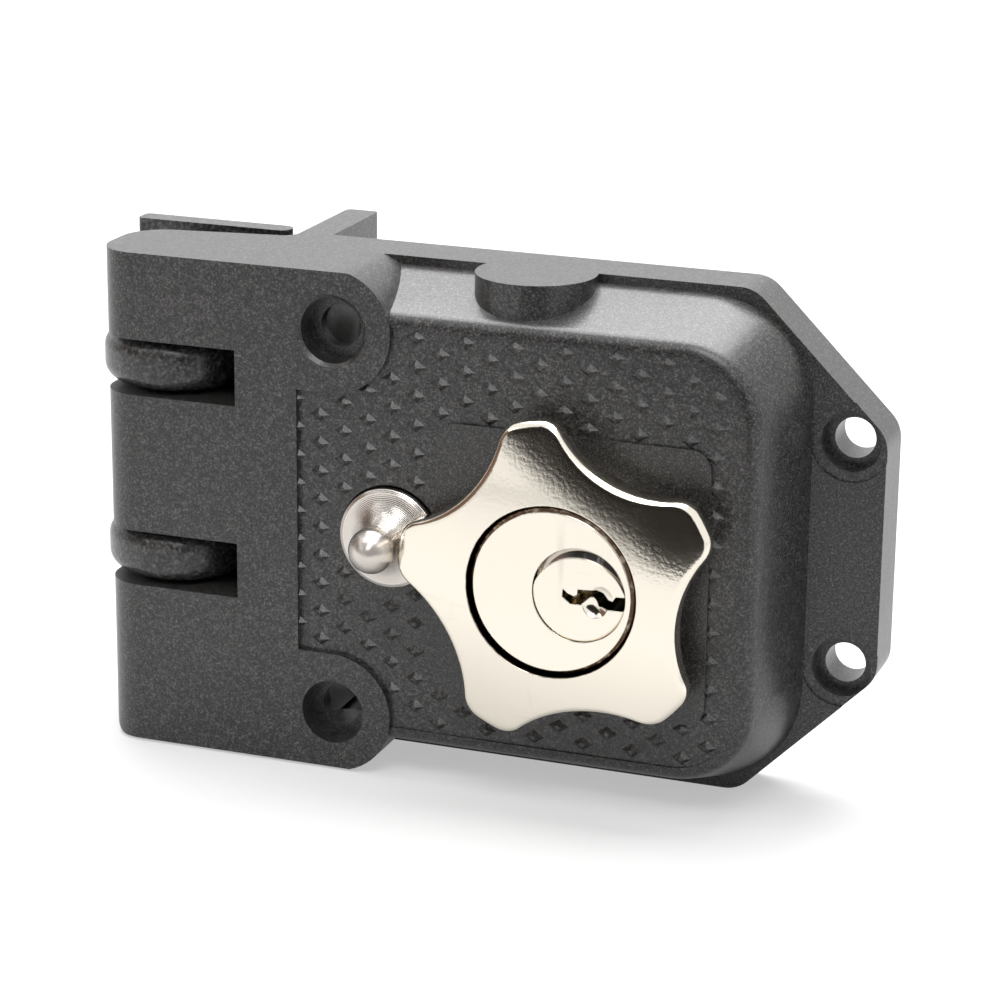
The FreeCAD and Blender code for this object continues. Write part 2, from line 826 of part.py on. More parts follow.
def build_star_knob():
    star_rear = star_thick - star_front
    knob = star_plate()
    knob = knob.fuse(rod_y(knob_x, knob_z, hub_r, star_rear - 1, pad_y - hub_gap))
    knob = knob.fuse(rod_y(knob_x, knob_z, barrel_r, star_rear, barrel_end))
    half_dog = dog_width / 2 + 0.1
    cuts = [
        rod_y(knob_x, knob_z, shell_r, -star_front - 1, bore_floor),
        cone_y(knob_x, knob_z, shell_r + 0.5, shell_r, -star_front - 0.25, -star_front + 0.25),
        box(knob_x - dog_back - 0.5, knob_x + barrel_r + 1, bore_floor, barrel_end + 1,
            knob_z - half_dog, knob_z + half_dog),
        rod_z(knob_x, set_screw_y, set_screw_r, knob_z - hub_r - 1, knob_z - shell_r + 1),
    ]
    cuts += [rod_y(x, z, hub_screw_r, bore_floor + 0.2, barrel_end + 1) for x, z in hub_screw_places()]
    return cut_all(knob, cuts)


def build_crank_hub():
    """Disc behind the barrel with the crank pin and the socket for a tailpiece."""
    crank_x, crank_z = around(180 + turn / 2, crank_r)
    pin_end = plate_rear + 0.15
    hub = rod_y(knob_x, knob_z, hub_disc_r, barrel_end, hub_rear)
    hub = hub.fuse(rod_y(knob_x, knob_z, spigot_r, hub_rear - 0.5, back_y - 0.4))
    hub = hub.fuse(rod_y(crank_x, crank_z, crank_pin_r, hub_rear - 0.5, pin_end))
    hub = hub.fuse(rod_y(crank_x, crank_z, crank_head_r, pin_end, back_y - 0.4))
    half_long = tail_slot_long / 2
    half_wide = tail_slot_wide / 2
    cuts = [box(knob_x - half_wide, knob_x + half_wide, back_y - 0.4 - tail_slot_deep, back_y,
                knob_z - half_long, knob_z + half_long)]
    for x, z in hub_screw_places():
        cuts.append(sunk_hole(x, z, hub_screw_r, hub_screw_head_r, barrel_end - 1, hub_rear))
    return cut_all(hub, cuts)


def build_hub_screws():
    return [sunk_screw(x, z, hub_screw_r, hub_screw_head_r, bore_floor + 0.2, hub_rear, 0.6)
            for x, z in hub_screw_places()]


def build_crank_roller():
    x, z = around(180 + turn / 2, crank_r)
    roller = rod_y(x, z, roller_r, hub_rear + 0.05, plate_rear + 0.1)
    return roller.cut(rod_y(x, z, crank_pin_r + roller_clear, hub_rear - 1, back_y))


def build_friction_washer():
    front = barrel_end - washer_thick - 0.03
    ring = rod_y(knob_x, knob_z, hub_disc_r, front, front + washer_thick)
    return ring.cut(rod_y(knob_x, knob_z, barrel_r + 0.2, front - 1, front + 2))


# Key cylinder

def pin_levels():
    return [shell_front + pin_first + i * pin_pitch for i in range(pin_count)]


def cover_space():
    levels = pin_levels()
    half_wide = pin_r + 0.6
    return box(knob_x - shell_r - 1, knob_x - shell_r + cover_thick, levels[0] - 2, levels[-1] + 2,
               knob_z - half_wide, knob_z + half_wide)


def build_cylinder_body():
    """Shell of the key cylinder, with its plug to one side and a row of pin chambers."""
    r = shell_r - shell_fit
    profile = [(0, shell_front), (r - shell_chamfer, shell_front), (r, shell_front + shell_chamfer),
               (r, shell_rear), (0, shell_rear)]
    body = lathe(knob_x, knob_z, profile)
    head_rear = shell_front + plug_head_long + 0.05
    cuts = [
        rod_y(plug_x, knob_z, plug_head_r + plug_clear, shell_front - 1, head_rear),
        rod_y(plug_x, knob_z, plug_r + plug_clear, shell_front, shell_rear + 1),
        rod_y(plug_x, knob_z, cam_r + 0.3, plug_end, shell_rear + 1),
        cover_space(),
        rod_z(knob_x, set_screw_y, set_screw_r - 0.35, knob_z - shell_r - 1, knob_z - shell_r + 0.5),
    ]
    cuts += [rod_x(y, knob_z, pin_r + 0.05, knob_x - shell_r - 1, plug_x - plug_r + 1)
             for y in pin_levels()]
    return cut_all(body, cuts)


def build_set_screw():
    outer = knob_z - hub_r + 0.3
    inner = knob_z - shell_r
    screw = rod_z(knob_x, set_screw_y, set_screw_r, outer, inner - 0.05)
    screw = screw.fuse(rod_z(knob_x, set_screw_y, set_screw_r - 0.4, inner - 0.1, inner + 0.45))
    return screw.cut(rod_z(knob_x, set_screw_y, 0.7, outer - 1, outer + 1.4))


def build_driver_pins():
    start = plug_x - plug_r - 0.2
    return [rod_x(y, knob_z, pin_r, start - driver_long, start) for y in pin_levels()]


def build_pin_springs():
    near = plug_x - plug_r - 0.25 - driver_long
    far = knob_x - shell_r + cover_thick
    return [rod_x(y, knob_z, pin_r - 0.1, far, near).cut(
        rod_x(y, knob_z, pin_r - 0.1 - spring_wall, far - 1, near + 1)) for y in pin_levels()]


def build_chamber_cover():
    return cover_space().common(rod_y(knob_x, knob_z, shell_r - shell_fit, shell_front, shell_rear))


def insert_shape(outer_r):
    """Crescent at the top of the plug's face, sloping back to its rim."""
    f = shell_front
    flat_r = insert_inner_r - insert_drop - 0.3
    profile = [(0, f + 0.1), (flat_r, f + 0.1), (outer_r, f + 0.1 + insert_slope),
               (outer_r, f + insert_deep), (0, f + insert_deep)]
    keep_out = rod_y(plug_x, knob_z - insert_drop, insert_inner_r, f - 1, f + insert_deep + 1)
    return lathe(plug_x, knob_z, profile).cut(keep_out)


def dimple(across, up, cap_r, deep):
    """Shallow round hollow in the plug's face."""
    r = (cap_r ** 2 + deep ** 2) / (2 * deep)
    return Part.makeSphere(r, V(plug_x + across, shell_front - r + deep, knob_z + up))


def cam_screw_places():
    return [around(angle, cam_screw_at, plug_x, knob_z) for angle in (45, 225)]


def build_plug():
    f = shell_front
    shoulder = f + plug_head_long
    profile = [(0, f), (plug_head_r - 0.25, f), (plug_head_r, f + 0.25), (plug_head_r, shoulder),
               (plug_r, shoulder), (plug_r, plug_end), (0, plug_end)]
    plug = lathe(plug_x, knob_z, profile)
    way = [(plug_x + u, knob_z + v, 0) for u, v in keyway]
    recess = rod_y(plug_x, knob_z, plug_head_r + 1, f - 1, f + insert_deep)
    recess = recess.cut(rod_y(plug_x, knob_z - insert_drop, insert_inner_r, f - 2, f + insert_deep + 1))
    cuts = [recess, slab_y(way, f - 1, keyway_end), dimple(2.5, -1.1, 1.9, 0.8), dimple(3.35, 0.0, 1.75, 0.6)]
    cuts += [rod_x(y, knob_z, pin_r + 0.05, plug_x - plug_r - 1, plug_x + 0.6) for y in pin_levels()]
    cuts += [rod_y(x, z, cam_screw_r, keyway_end + 0.5, plug_end + 1) for x, z in cam_screw_places()]
    return cut_all(plug, cuts)


def build_key_pins():
    start = plug_x - plug_r + pin_shear_gap
    return [rod_x(y, knob_z, pin_r, start, plug_x - end)
            for y, end in zip(pin_levels(), key_pin_ends)]


def cam_pin_place():
    return around(90 + turn / 2, cam_throw_r, plug_x, knob_z)


def build_cam():
    front = plug_end + 0.05
    rear = front + cam_thick
    x, z = cam_pin_place()
    cam = rod_y(plug_x, knob_z, cam_r, front, rear)
    cam = cam.fuse(rod_y(x, z, cam_pin_r, rear - 0.5, barrel_end - 0.65))
    cuts = [sunk_hole(x, z, cam_screw_r, cam_screw_head_r, front - 1, rear) for x, z in cam_screw_places()]
    return cut_all(cam, cuts)


def build_cam_screws():
    rear = plug_end + 0.05 + cam_thick
    return [sunk_screw(x, z, cam_screw_r, cam_screw_head_r, keyway_end + 0.5, rear, 0.4)
            for x, z in cam_screw_places()]


def build_dog():
    """Slide that the cam pushes out of the barrel into a notch of the collar."""
    front = bore_floor + 0.15
    half_wide = dog_width / 2
    dog = box(knob_x - dog_back, knob_x + barrel_r, front, front + dog_thick,
              knob_z - half_wide, knob_z + half_wide)
    dog = dog.common(rod_y(knob_x, knob_z, barrel_r - 0.1, front - 1, front + dog_thick + 1))
    x, z = cam_pin_place()
    r = cam_pin_r + dog_slot_clear
    run = rectangle(x - r, x + r, z - r, knob_z + cam_throw_r + r, 0.9, 0.9)
    return dog.cut(slab_y(run, front - 1, front + dog_thick + 1))


# Push button

def build_button():
    """Turned button: a ball on a neck that flares out to a thin-rimmed disc."""
    flare_x = button_r - 0.5
    rim = button_rim_y - 0.3
    flare_y = rim - button_flare_r
    span = math.hypot(flare_x, flare_y - ball_y)
    across = math.atan2(flare_y - ball_y, flare_x)
    bend = math.acos((ball_r ** 2 + span ** 2 - button_flare_r ** 2) / (2 * ball_r * span))
    meet_r = ball_r * math.cos(across + bend)
    meet_y = ball_y + ball_r * math.sin(across + bend)
    start = math.atan2(meet_y - flare_y, meet_r - flare_x)
    middle = (start + math.pi / 2) / 2

    def spot(r, y):
        return V(button_x + r, y, button_z)
    tip = spot(0, ball_y - ball_r)
    meet = spot(meet_r, meet_y)
    belly = spot(ball_r, ball_y)
    flare_mid = spot(flare_x + button_flare_r * math.cos(middle), flare_y + button_flare_r * math.sin(middle))
    corners = [spot(flare_x, rim), spot(button_r, button_rim_y), spot(button_r, button_back_y),
               spot(stem_tenon_r, button_back_y), spot(stem_tenon_r, button_back_y - stem_tenon),
               spot(0, button_back_y - stem_tenon), tip]
    edges = [Part.Arc(tip, belly, meet).toShape(), Part.Arc(meet, flare_mid, corners[0]).toShape()]
    edges += [Part.makeLine(a, b) for a, b in zip(corners, corners[1:])]
    return turned(button_x, button_z, edges)


def build_stem():
    groove_y = neck_end + 0.05
    groove_end = groove_y + clip_thick
    groove_r = stem_r - clip_groove
    profile = [(0, button_back_y - stem_tenon), (stem_tenon_r, button_back_y - stem_tenon),
               (stem_tenon_r, button_back_y), (stem_r, button_back_y), (stem_r, groove_y),
               (groove_r, groove_y), (groove_r, groove_end), (stem_r, groove_end),
               (stem_r, stem_end - 0.4), (stem_r - 0.4, stem_end), (0, stem_end)]
    return lathe(button_x, button_z, profile)


def build_clip():
    """Open clip in the stem's groove that keeps the button from being pulled out."""
    front = neck_end + 0.05
    clip = rod_y(button_x, button_z, clip_r, front, front + clip_thick)
    r = stem_r - clip_groove
    clip = clip.cut(rod_y(button_x, button_z, r, front - 1, front + 2))
    return clip.cut(box(button_x - r, button_x + r, front - 1, front + 2, button_z - clip_r - 1, button_z))


# Strike

def strike_eye(middle_z):
    """Thick rounded eye that fills one slot of the block."""
    low = slot_floor(middle_z) + eye_side_gap
    high = low + slot_height - 2 * eye_side_gap
    rear = strike_front + strike_thick / 2
    front = eye_y - eye_r
    plan = [(bolt_x - eye_r, front, eye_r), (bolt_x + eye_r, front, eye_r),
            (bolt_x + eye_r, rear, 0), (bolt_x - eye_r, rear, 0)]
    eye = slab_z(plan, low, high)

    def on_rim(edge):
        flat = is_flat_at(edge, 2, low) or is_flat_at(edge, 2, high)
        return flat and not is_flat_at(edge, 1, rear)
    return fillet_where(eye, eye_rim_r, on_rim)


def build_strike():
    top = half + strike_over
    rear = strike_front + strike_thick
    plan = rectangle(strike_left, strike_right, strike_front, rear, 0.8, strike_end_r)
    shape = slab_z(plan, -top, top).multiFuse([strike_eye(middle_z) for middle_z in slots])
    cuts = [rod_z(bolt_x, bolt_y, bolt_r + eye_hole_clear, -top, top)]
    x = (strike_left + strike_right) / 2
    sink = strike_sink_r - strike_hole_r
    for side in (1, -1):
        z = side * strike_hole_z
        cuts.append(rod_y(x, z, strike_hole_r, strike_front - 1, rear + 1))
        cuts.append(cone_y(x, z, strike_sink_r, strike_hole_r, strike_front, strike_front + sink))
    return cut_all(shape, cuts)


os.makedirs("parts", exist_ok=True)
save("case", build_case())
save("back_plate", build_back_plate())
save("back_plate_screws", *build_plate_screws())
save("guide_stud", build_guide_stud())
save("carriage_stop", build_carriage_stop())
save("button_detent_ring", build_detent_ring())
save("bolt_carriage", build_carriage())
save("bolt_pins", *build_bolt_pins())
save("star_knob", build_star_knob())
save("crank_hub", build_crank_hub())
save("hub_screws", *build_hub_screws())
save("crank_roller", build_crank_roller())
save("friction_washer", build_friction_washer())
save("cylinder_body", build_cylinder_body())
save("cylinder_set_screw", build_set_screw())
save("driver_pins", *build_driver_pins())
save("pin_springs", *build_pin_springs())
save("chamber_cover", build_chamber_cover())
save("cylinder_plug", build_plug())
save("plug_insert", insert_shape(plug_head_r - 0.1))
save("key_pins", *build_key_pins())
save("plug_cam", build_cam())
save("cam_screws", *build_cam_screws())
save("locking_dog", build_dog())
save("holdback_button", build_button())
save("button_stem", build_stem())
save("button_clip", build_clip())
save("strike", build_strike())
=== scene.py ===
"""Surface gate lock with an interlocking strike: its finishes, curved pieces and studio."""

import json
import math

import bmesh
import bpy
from bpy.props import FloatProperty, FloatVectorProperty, IntProperty, PointerProperty
from mathutils import Matrix, Vector

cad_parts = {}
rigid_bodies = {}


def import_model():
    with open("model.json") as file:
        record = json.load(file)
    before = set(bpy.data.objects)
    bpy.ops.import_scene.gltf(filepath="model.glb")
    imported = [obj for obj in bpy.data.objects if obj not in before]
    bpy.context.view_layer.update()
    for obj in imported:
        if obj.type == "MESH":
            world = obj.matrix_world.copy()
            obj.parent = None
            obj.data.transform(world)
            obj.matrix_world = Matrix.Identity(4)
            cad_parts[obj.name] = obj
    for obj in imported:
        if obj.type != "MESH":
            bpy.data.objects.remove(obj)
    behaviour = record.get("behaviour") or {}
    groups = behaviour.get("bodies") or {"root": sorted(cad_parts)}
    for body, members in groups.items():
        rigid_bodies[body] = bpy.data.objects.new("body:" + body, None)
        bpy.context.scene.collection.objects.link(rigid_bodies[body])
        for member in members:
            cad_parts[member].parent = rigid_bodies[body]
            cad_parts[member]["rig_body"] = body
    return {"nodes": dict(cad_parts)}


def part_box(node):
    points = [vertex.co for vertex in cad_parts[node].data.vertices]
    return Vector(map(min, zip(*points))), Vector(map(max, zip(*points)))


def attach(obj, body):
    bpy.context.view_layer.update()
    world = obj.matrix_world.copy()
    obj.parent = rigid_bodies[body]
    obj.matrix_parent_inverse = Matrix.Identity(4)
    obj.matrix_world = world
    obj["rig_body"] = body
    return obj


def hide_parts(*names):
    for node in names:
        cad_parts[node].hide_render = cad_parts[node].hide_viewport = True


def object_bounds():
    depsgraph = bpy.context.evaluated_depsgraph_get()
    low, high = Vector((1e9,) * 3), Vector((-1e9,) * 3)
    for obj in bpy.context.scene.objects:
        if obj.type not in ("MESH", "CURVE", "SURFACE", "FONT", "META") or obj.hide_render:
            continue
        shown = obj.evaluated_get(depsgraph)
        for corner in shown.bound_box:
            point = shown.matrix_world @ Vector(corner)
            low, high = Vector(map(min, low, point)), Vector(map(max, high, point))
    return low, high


bl_info = {
    "name": "Gate lock",
    "version": (1, 0, 0),
    "blender": (4, 5, 0),
    "location": "3D View > Sidebar > Gate lock",
    "description": "Dresses the gate lock's frame with finishes, curved pieces and a studio",
    "category": "Object",
}

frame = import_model()
NODES = frame["nodes"]
CAD_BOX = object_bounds()
MM = 0.001

# Measures of the frame's nodes, in metres
STEM_LOW, STEM_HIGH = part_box("button_stem")
BUTTON_X = (STEM_LOW.x + STEM_HIGH.x) / 2
BUTTON_Z = (STEM_LOW.z + STEM_HIGH.z) / 2
BUTTON_LOW, BUTTON_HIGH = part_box("holdback_button")
BUTTON_TIP = BUTTON_LOW.y
BUTTON_BACK = BUTTON_HIGH.y
KNOB_LOW, KNOB_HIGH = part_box("star_knob")
STAR_FRONT = KNOB_LOW.y
BARREL_END = KNOB_HIGH.y
SHELL_LOW, SHELL_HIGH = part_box("cylinder_body")
SEAM_R = (SHELL_HIGH.x - SHELL_LOW.x) / 2
PIN_LOW, PIN_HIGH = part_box("bolt_pins")
PIN_X = (PIN_LOW.x + PIN_HIGH.x) / 2

# Distance within which points are joined, tolerance of a test, and fineness of the meshes
MERGE = 0.001 * MM
SLACK = 0.05 * MM
STEPS_PER_LOBE = 72
FACE_STEPS = 12
EDGE_STEPS = 6
BACK_EDGE_STEPS = 3
BUTTON_STEPS = 128
BALL_STEPS = 28
FLARE_STEPS = 20

# Studio, in metres and degrees. The floor gets whiter from LIFT_FROM to WHITE_FROM away from the
# origin, and metal mirrors a share of that. A light's power names one of the studio's settings.
FLOOR_SIZE = 6.0
FLOOR_GAP = 0.2 * MM
LIFT_FROM = 0.35
WHITE_FROM = 1.3
FLOOR_MIRRORED = 0.5
CARDS = (
    {"name": "dark_card", "size": (0.34, 0.15), "place": (0.011, -0.2, 0.0525),
     "lean": 31.6, "turn": 0.0, "tone": (0.02, 0.018, 0.017), "fade": 0.016},
    {"name": "brown_card", "size": (0.32, 0.18), "place": (-0.27, -0.17, 0.1),
     "lean": 0.0, "turn": -65.0, "tone": (0.16, 0.095, 0.062), "fade": 0.02},
)
LIGHTS = (
    {"name": "top_light", "power": "key", "size": (0.9, 0.7), "place": (-0.05, 0.25, 0.8)},
    {"name": "front_light", "power": "front", "size": (0.5, 0.4), "place": (0.15, -0.55, 0.8)},
    {"name": "side_light", "power": "side", "size": (0.4, 0.5), "place": (-0.7, -0.45, 0.35)},
)


# Sizes and colours that a user would change

def length(name, description, default):
    """Setting in metres."""
    return FloatProperty(name=name, description=description, default=default,
                         unit="LENGTH", min=0.0)


def colour(name, description, default):
    """Setting that holds a colour."""
    return FloatVectorProperty(name=name, description=description, default=default,
                               subtype="COLOR", size=3, min=0.0, max=1.0)


def share(name, description, default):
    """Setting from 0 to 1."""
    return FloatProperty(name=name, description=description, default=default,
                         subtype="FACTOR", min=0.0, max=1.0)


class CoatSettings(bpy.types.PropertyGroup):
    """Black coat of the case and the strike."""
    coat: colour("Coat", "Colour of the matt black coat", (0.0318, 0.0301, 0.0295))
    speck: colour("Speck", "Lighter specks in the coat", (0.13, 0.125, 0.12))
    roughness: share("Roughness", "How matt the coat is", 0.5)
    gloss: share("Gloss", "How strongly the coat reflects", 0.25)
    sheen: share("Sheen", "How strongly the coat's skin shines at a flat angle", 0.9)
    grain: length("Grain", "Size of the coat's grain", 0.3 * MM)
    grain_depth: length("Grain depth", "Height of the coat's grain", 0.09 * MM)
    edge: length("Edge", "Softness of the case's edges", 0.12 * MM)


class StrikeSettings(bpy.types.PropertyGroup):
    """Eyes of the strike."""
    reach_left: length("Left reach", "How far the eyes swell past the knuckle block", 2.1 * MM)
    reach_front: length("Front reach", "How far the eyes swell to the front", 1.1 * MM)
    core_r: length("Core", "Radius round the pin that keeps its shape", 5.8 * MM)
    rim_r: length("Rim", "Radius from which the eyes swell fully", 7.6 * MM)
    eye_r: length("Eye", "Radius of the eyes before they swell", 10.2 * MM)
    plate: length("Plate", "Thickness of the plate that carries the eyes", 3.5 * MM)
    waist: share("Waist", "How much less the eyes swell where they meet the plate", 0.4)


class NickelSettings(bpy.types.PropertyGroup):
    """Nickel plate of the thumbturn and the key cylinder."""
    plate: colour("Plate", "Colour of the nickel plate", (0.92, 0.86, 0.75))
    roughness: share("Roughness", "How dull the plate is", 0.1)
    scratch: length("Scratch", "Length over which fine scratches repeat", 1.6 * MM)
    peel: length("Peel", "Size of the small pits in the polished casting", 0.6 * MM)
    peel_depth: length("Peel depth", "Depth of the small pits", 0.0045 * MM)
    edge: length("Edge", "Softness of the plated edges", 0.2 * MM)
    # Width of the painted shade line along the seam round the key cylinder.
    seam: length("Seam", "Width of the dark line round the key cylinder", 0.33 * MM)


class StarSettings(bpy.types.PropertyGroup):
    """Five-lobed thumbturn."""
    lobes: IntProperty(name="Lobes", description="Number of lobes", default=5, min=3, max=9)
    first: FloatProperty(name="First lobe", description="Angle of the first lobe from +X",
                         default=math.radians(100.8), subtype="ANGLE")
    tip_r: length("Tip", "Radius of the lobe tips", 24.4 * MM)
    valley_r: length("Valley", "Radius of the hollows between lobes", 18.3 * MM)
    hollow_r: length("Hollow curve", "Radius of each hollow's own curve", 19.0 * MM)
    corner_r: length("Corner curve", "Radius of the lobes' corners", 3.6 * MM)
    thick: length("Thickness", "Thickness of the star", 4.8 * MM)
    crown_r: length("Crown", "Radius of the face's crown", 98.0 * MM)
    edge_r: length("Edge", "Rounding of the front edge", 1.0 * MM)
    back_edge_r: length("Back edge", "Rounding of the back edge", 0.5 * MM)
    bore_r: length("Bore", "Radius of the seat of the key cylinder", 12.7 * MM)
    lip: length("Bore edge", "Bevel at the front of the seat", 0.1 * MM)
    hub_r: length("Hub", "Radius of the hub behind the star", 16.5 * MM)
    hub_end: length("Hub length", "Length of the hub behind the star", 3.7 * MM)
    barrel_r: length("Barrel", "Radius of the barrel inside the case", 15.0 * MM)
    dog_way: length("Dog depth", "Length left free at the barrel's end for the dog", 3.05 * MM)


class ButtonSettings(bpy.types.PropertyGroup):
    """Turned push button."""
    ball_r: length("Ball", "Radius of the ball", 3.4 * MM)
    flare_r: length("Flare", "Radius of the hollow flare", 4.5 * MM)
    disc_r: length("Disc", "Radius of the disc", 7.5 * MM)
    rim: length("Rim", "Height of the narrow bevel at the rim", 0.3 * MM)
    bevel: length("Bevel", "Width of the narrow bevel at the rim", 0.5 * MM)
    disc: length("Disc thickness", "Thickness of the disc behind its bevel", 1.4 * MM)
    corner_in: length("Corner, inwards", "Width of the broken corner of the disc", 0.06 * MM)
    corner_front: length("Corner, front", "Broken corner's reach to the front", 0.04 * MM)
    corner_back: length("Corner, back", "Broken corner's reach to the back", 0.05 * MM)
    ring: length("Rings", "Distance between the lathe's rings", 0.3 * MM)
    ring_depth: length("Ring depth", "Depth of the lathe's rings", 0.02 * MM)
    roughness: share("Roughness", "How dull the steel is", 0.16)
    steel: colour("Steel", "Colour of the turned steel", (0.74, 0.69, 0.64))


class StageSettings(bpy.types.PropertyGroup):
    """Camera, floor and lights."""
    azimuth: FloatProperty(name="Azimuth", description="Camera's turn from the front towards +X",
                           default=math.radians(19.986), subtype="ANGLE")
    elevation: FloatProperty(name="Elevation", description="Camera's height over the horizon",
                             default=math.radians(17.279), subtype="ANGLE")
    roll: FloatProperty(name="Roll", description="Camera's turn about its own axis",
                        default=math.radians(0.64), subtype="ANGLE")
    distance: length("Distance", "Camera's distance from its target", 458.706 * MM)
    target: FloatVectorProperty(name="Target", description="Point that the camera looks at",
                                default=(-10.69 * MM, -22.6 * MM, 10.07 * MM),
                                subtype="TRANSLATION")
    lens: FloatProperty(name="Lens", description="Focal length in millimetres", default=115.15)
    sky: share("Sky", "Strength of the even light from all round", 0.27)
    key: FloatProperty(name="Key", description="Power of the top light in watts", default=13.0)
    side: FloatProperty(name="Side", description="Power of the side light in watts", default=1.2)
    front: FloatProperty(name="Front", description="Power of the light above the front in watts",
                         default=3.4)
    floor: colour("Floor", "Colour of the floor", (0.48, 0.48, 0.48))
    lift: share("Lift", "How much whiter the camera and the metal see the floor", 0.45)


# Meshes

def finished(bm, name, body, material, sharp=35.0):
    """Turn a bmesh into a piece that rides on a body, smooth but for edges over an angle."""
    bm.normal_update()
    limit = math.radians(sharp)
    for face in bm.faces:
        face.smooth = True
    for edge in bm.edges:
        edge.smooth = len(edge.link_faces) == 2 and edge.calc_face_angle(0.0) < limit
    mesh = bpy.data.meshes.new(name)
    bm.to_mesh(mesh)
    bm.free()
    mesh.materials.append(material)
    piece = bpy.data.objects.new(name, mesh)
    bpy.context.scene.collection.objects.link(piece)
    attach(piece, body)
    return piece


def smooth_copy(node, name, material, sharp=30.0, reshape=None):
    """Joined, smooth-shaded copy of a node that stands for it; reshape may move its points."""
    bm = bmesh.new()
    bm.from_mesh(NODES[node].data)
    bmesh.ops.remove_doubles(bm, verts=bm.verts, dist=MERGE)
    if reshape:
        reshape(bm)
    piece = finished(bm, name, NODES[node]["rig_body"], material, sharp)
    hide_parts(node)


def spun(profile, centre, steps):
    """Solid of revolution about the Y axis through centre, from (radius, y) points."""
    bm = bmesh.new()
    verts = [bm.verts.new((centre.x + r, y, centre.z)) for r, y in profile]
    edges = [bm.edges.new(pair) for pair in zip(verts, verts[1:])]
    bmesh.ops.spin(bm, geom=verts + edges, cent=centre, axis=(0, 1, 0), angle=2 * math.pi,
                   steps=steps, use_merge=True, use_duplicate=False)
    bmesh.ops.remove_doubles(bm, verts=bm.verts, dist=2 * MERGE)
    bmesh.ops.recalc_face_normals(bm, faces=bm.faces)
    return bm


def arc(centre_r, centre_y, radius, start, end, steps):
    """Points (radius, y) of an arc between two angles, in degrees."""
    points = []
    for i in range(steps + 1):
        a = math.radians(start + (end - start) * i / steps)
        points.append((centre_r + radius * math.cos(a), centre_y + radius * math.sin(a)))
    return points


def paint(material, *names):
    """Give nodes that keep their own shape a material."""
    for name in names:
        for place in NODES[name].material_slots:
            place.material = material


# Shader helpers

def add(tree, kind, **values):
    """Add a node; values name its settings or, with _ for a space, its inputs."""
    node = tree.nodes.new(kind)
    for key, value in values.items():
        if hasattr(node, key):
            setattr(node, key, value)
        else:
            node.inputs[key.replace("_", " ")].default_value = value
    return node


def wire(tree, source, output, target, socket):
    """Link a node's output to another node's input, both by name or number."""
    tree.links.new(source.outputs[output], target.inputs[socket])


def feed(tree, value, socket):
    """Give an input a value, which is a plain one or another node's output."""
    if isinstance(value, bpy.types.NodeSocket):
        tree.links.new(value, socket)
    else:
        socket.default_value = value


def math_node(tree, operation, a, b=0.0):
    """Math node whose two inputs are each a number or a socket."""
    node = add(tree, "ShaderNodeMath", operation=operation)
    feed(tree, a, node.inputs[0])
    feed(tree, b, node.inputs[1])
    return node.outputs[0]


def new_group(name, inputs, outputs):
    """New shader node group with float inputs and outputs; gives its tree, start and end."""
    tree = bpy.data.node_groups.new(name, "ShaderNodeTree")
    for label, default in inputs:
        socket = tree.interface.new_socket(label, in_out="INPUT", socket_type="NodeSocketFloat")
        socket.default_value = default
    for label in outputs:
        tree.interface.new_socket(label, in_out="OUTPUT", socket_type="NodeSocketFloat")
    return tree, tree.nodes.new("NodeGroupInput"), tree.nodes.new("NodeGroupOutput")


def noise(tree, scale, detail=2.0, roughness=0.5, stretch=None):
    """Noise on Object coordinates; scale is a number or a socket."""
    place = add(tree, "ShaderNodeTexCoord")
    texture = add(tree, "ShaderNodeTexNoise", Detail=detail, Roughness=roughness)
    feed(tree, scale, texture.inputs["Scale"])
    source = place.outputs["Object"]
    if stretch:
        mapping = add(tree, "ShaderNodeMapping", Scale=stretch)
        tree.links.new(source, mapping.inputs["Vector"])
        source = mapping.outputs["Vector"]
    tree.links.new(source, texture.inputs["Vector"])
    return texture.outputs["Fac"]


def spread(tree, value, low, high):
    """Stretch values between low and high to 0 and 1."""
    node = add(tree, "ShaderNodeMapRange", From_Min=low, From_Max=high)
    tree.links.new(value, node.inputs["Value"])
    return node.outputs["Result"]


def cast_grain():
    """Grain of a sprayed coat on a casting: specks, patches and a height."""
    found = bpy.data.node_groups.get("Cast grain")
    if found:
        return found
    tree, start, end = new_group("Cast grain", [("Fineness", 3000.0), ("Patches", 90.0)],
                                 ("Tone", "Speck", "Patch", "Height"))
    fine_share = 0.72
    middle_scale = math_node(tree, "MULTIPLY", start.outputs["Fineness"], 0.38)
    fine = noise(tree, start.outputs["Fineness"], detail=1.0)
    middle = noise(tree, middle_scale, detail=2.0)
    wide = noise(tree, start.outputs["Patches"], detail=3.0)
    both = math_node(tree, "ADD", math_node(tree, "MULTIPLY", fine, fine_share),
                     math_node(tree, "MULTIPLY", middle, 1.0 - fine_share))
    tree.links.new(spread(tree, both, low=0.41, high=0.59), end.inputs["Tone"])
    tree.links.new(spread(tree, both, low=0.58, high=0.7), end.inputs["Speck"])
    tree.links.new(spread(tree, wide, low=0.35, high=0.65), end.inputs["Patch"])
    tree.links.new(both, end.inputs["Height"])
    return tree


def handling_marks():
    """Fine scratches in two directions and smears, as on plate that has been handled."""
    found = bpy.data.node_groups.get("Handling marks")
    if found:
        return found
    tree, start, end = new_group("Handling marks", [("Scratches", 700.0), ("Smears", 60.0)],
                                 ("Scratch", "Smear"))
    lines = []
    for stretch in ((1.0, 0.4, 0.07), (0.06, 0.4, 1.0)):
        one = noise(tree, start.outputs["Scratches"], detail=3.0, roughness=0.6, stretch=stretch)
        lines.append(spread(tree, one, low=0.6, high=0.74))
    both = math_node(tree, "MAXIMUM", lines[0], lines[1])
    patchy = spread(tree, noise(tree, start.outputs["Smears"]), low=0.42, high=0.62)
    tree.links.new(math_node(tree, "MULTIPLY", both, patchy), end.inputs["Scratch"])
    tree.links.new(patchy, end.inputs["Smear"])
    return tree


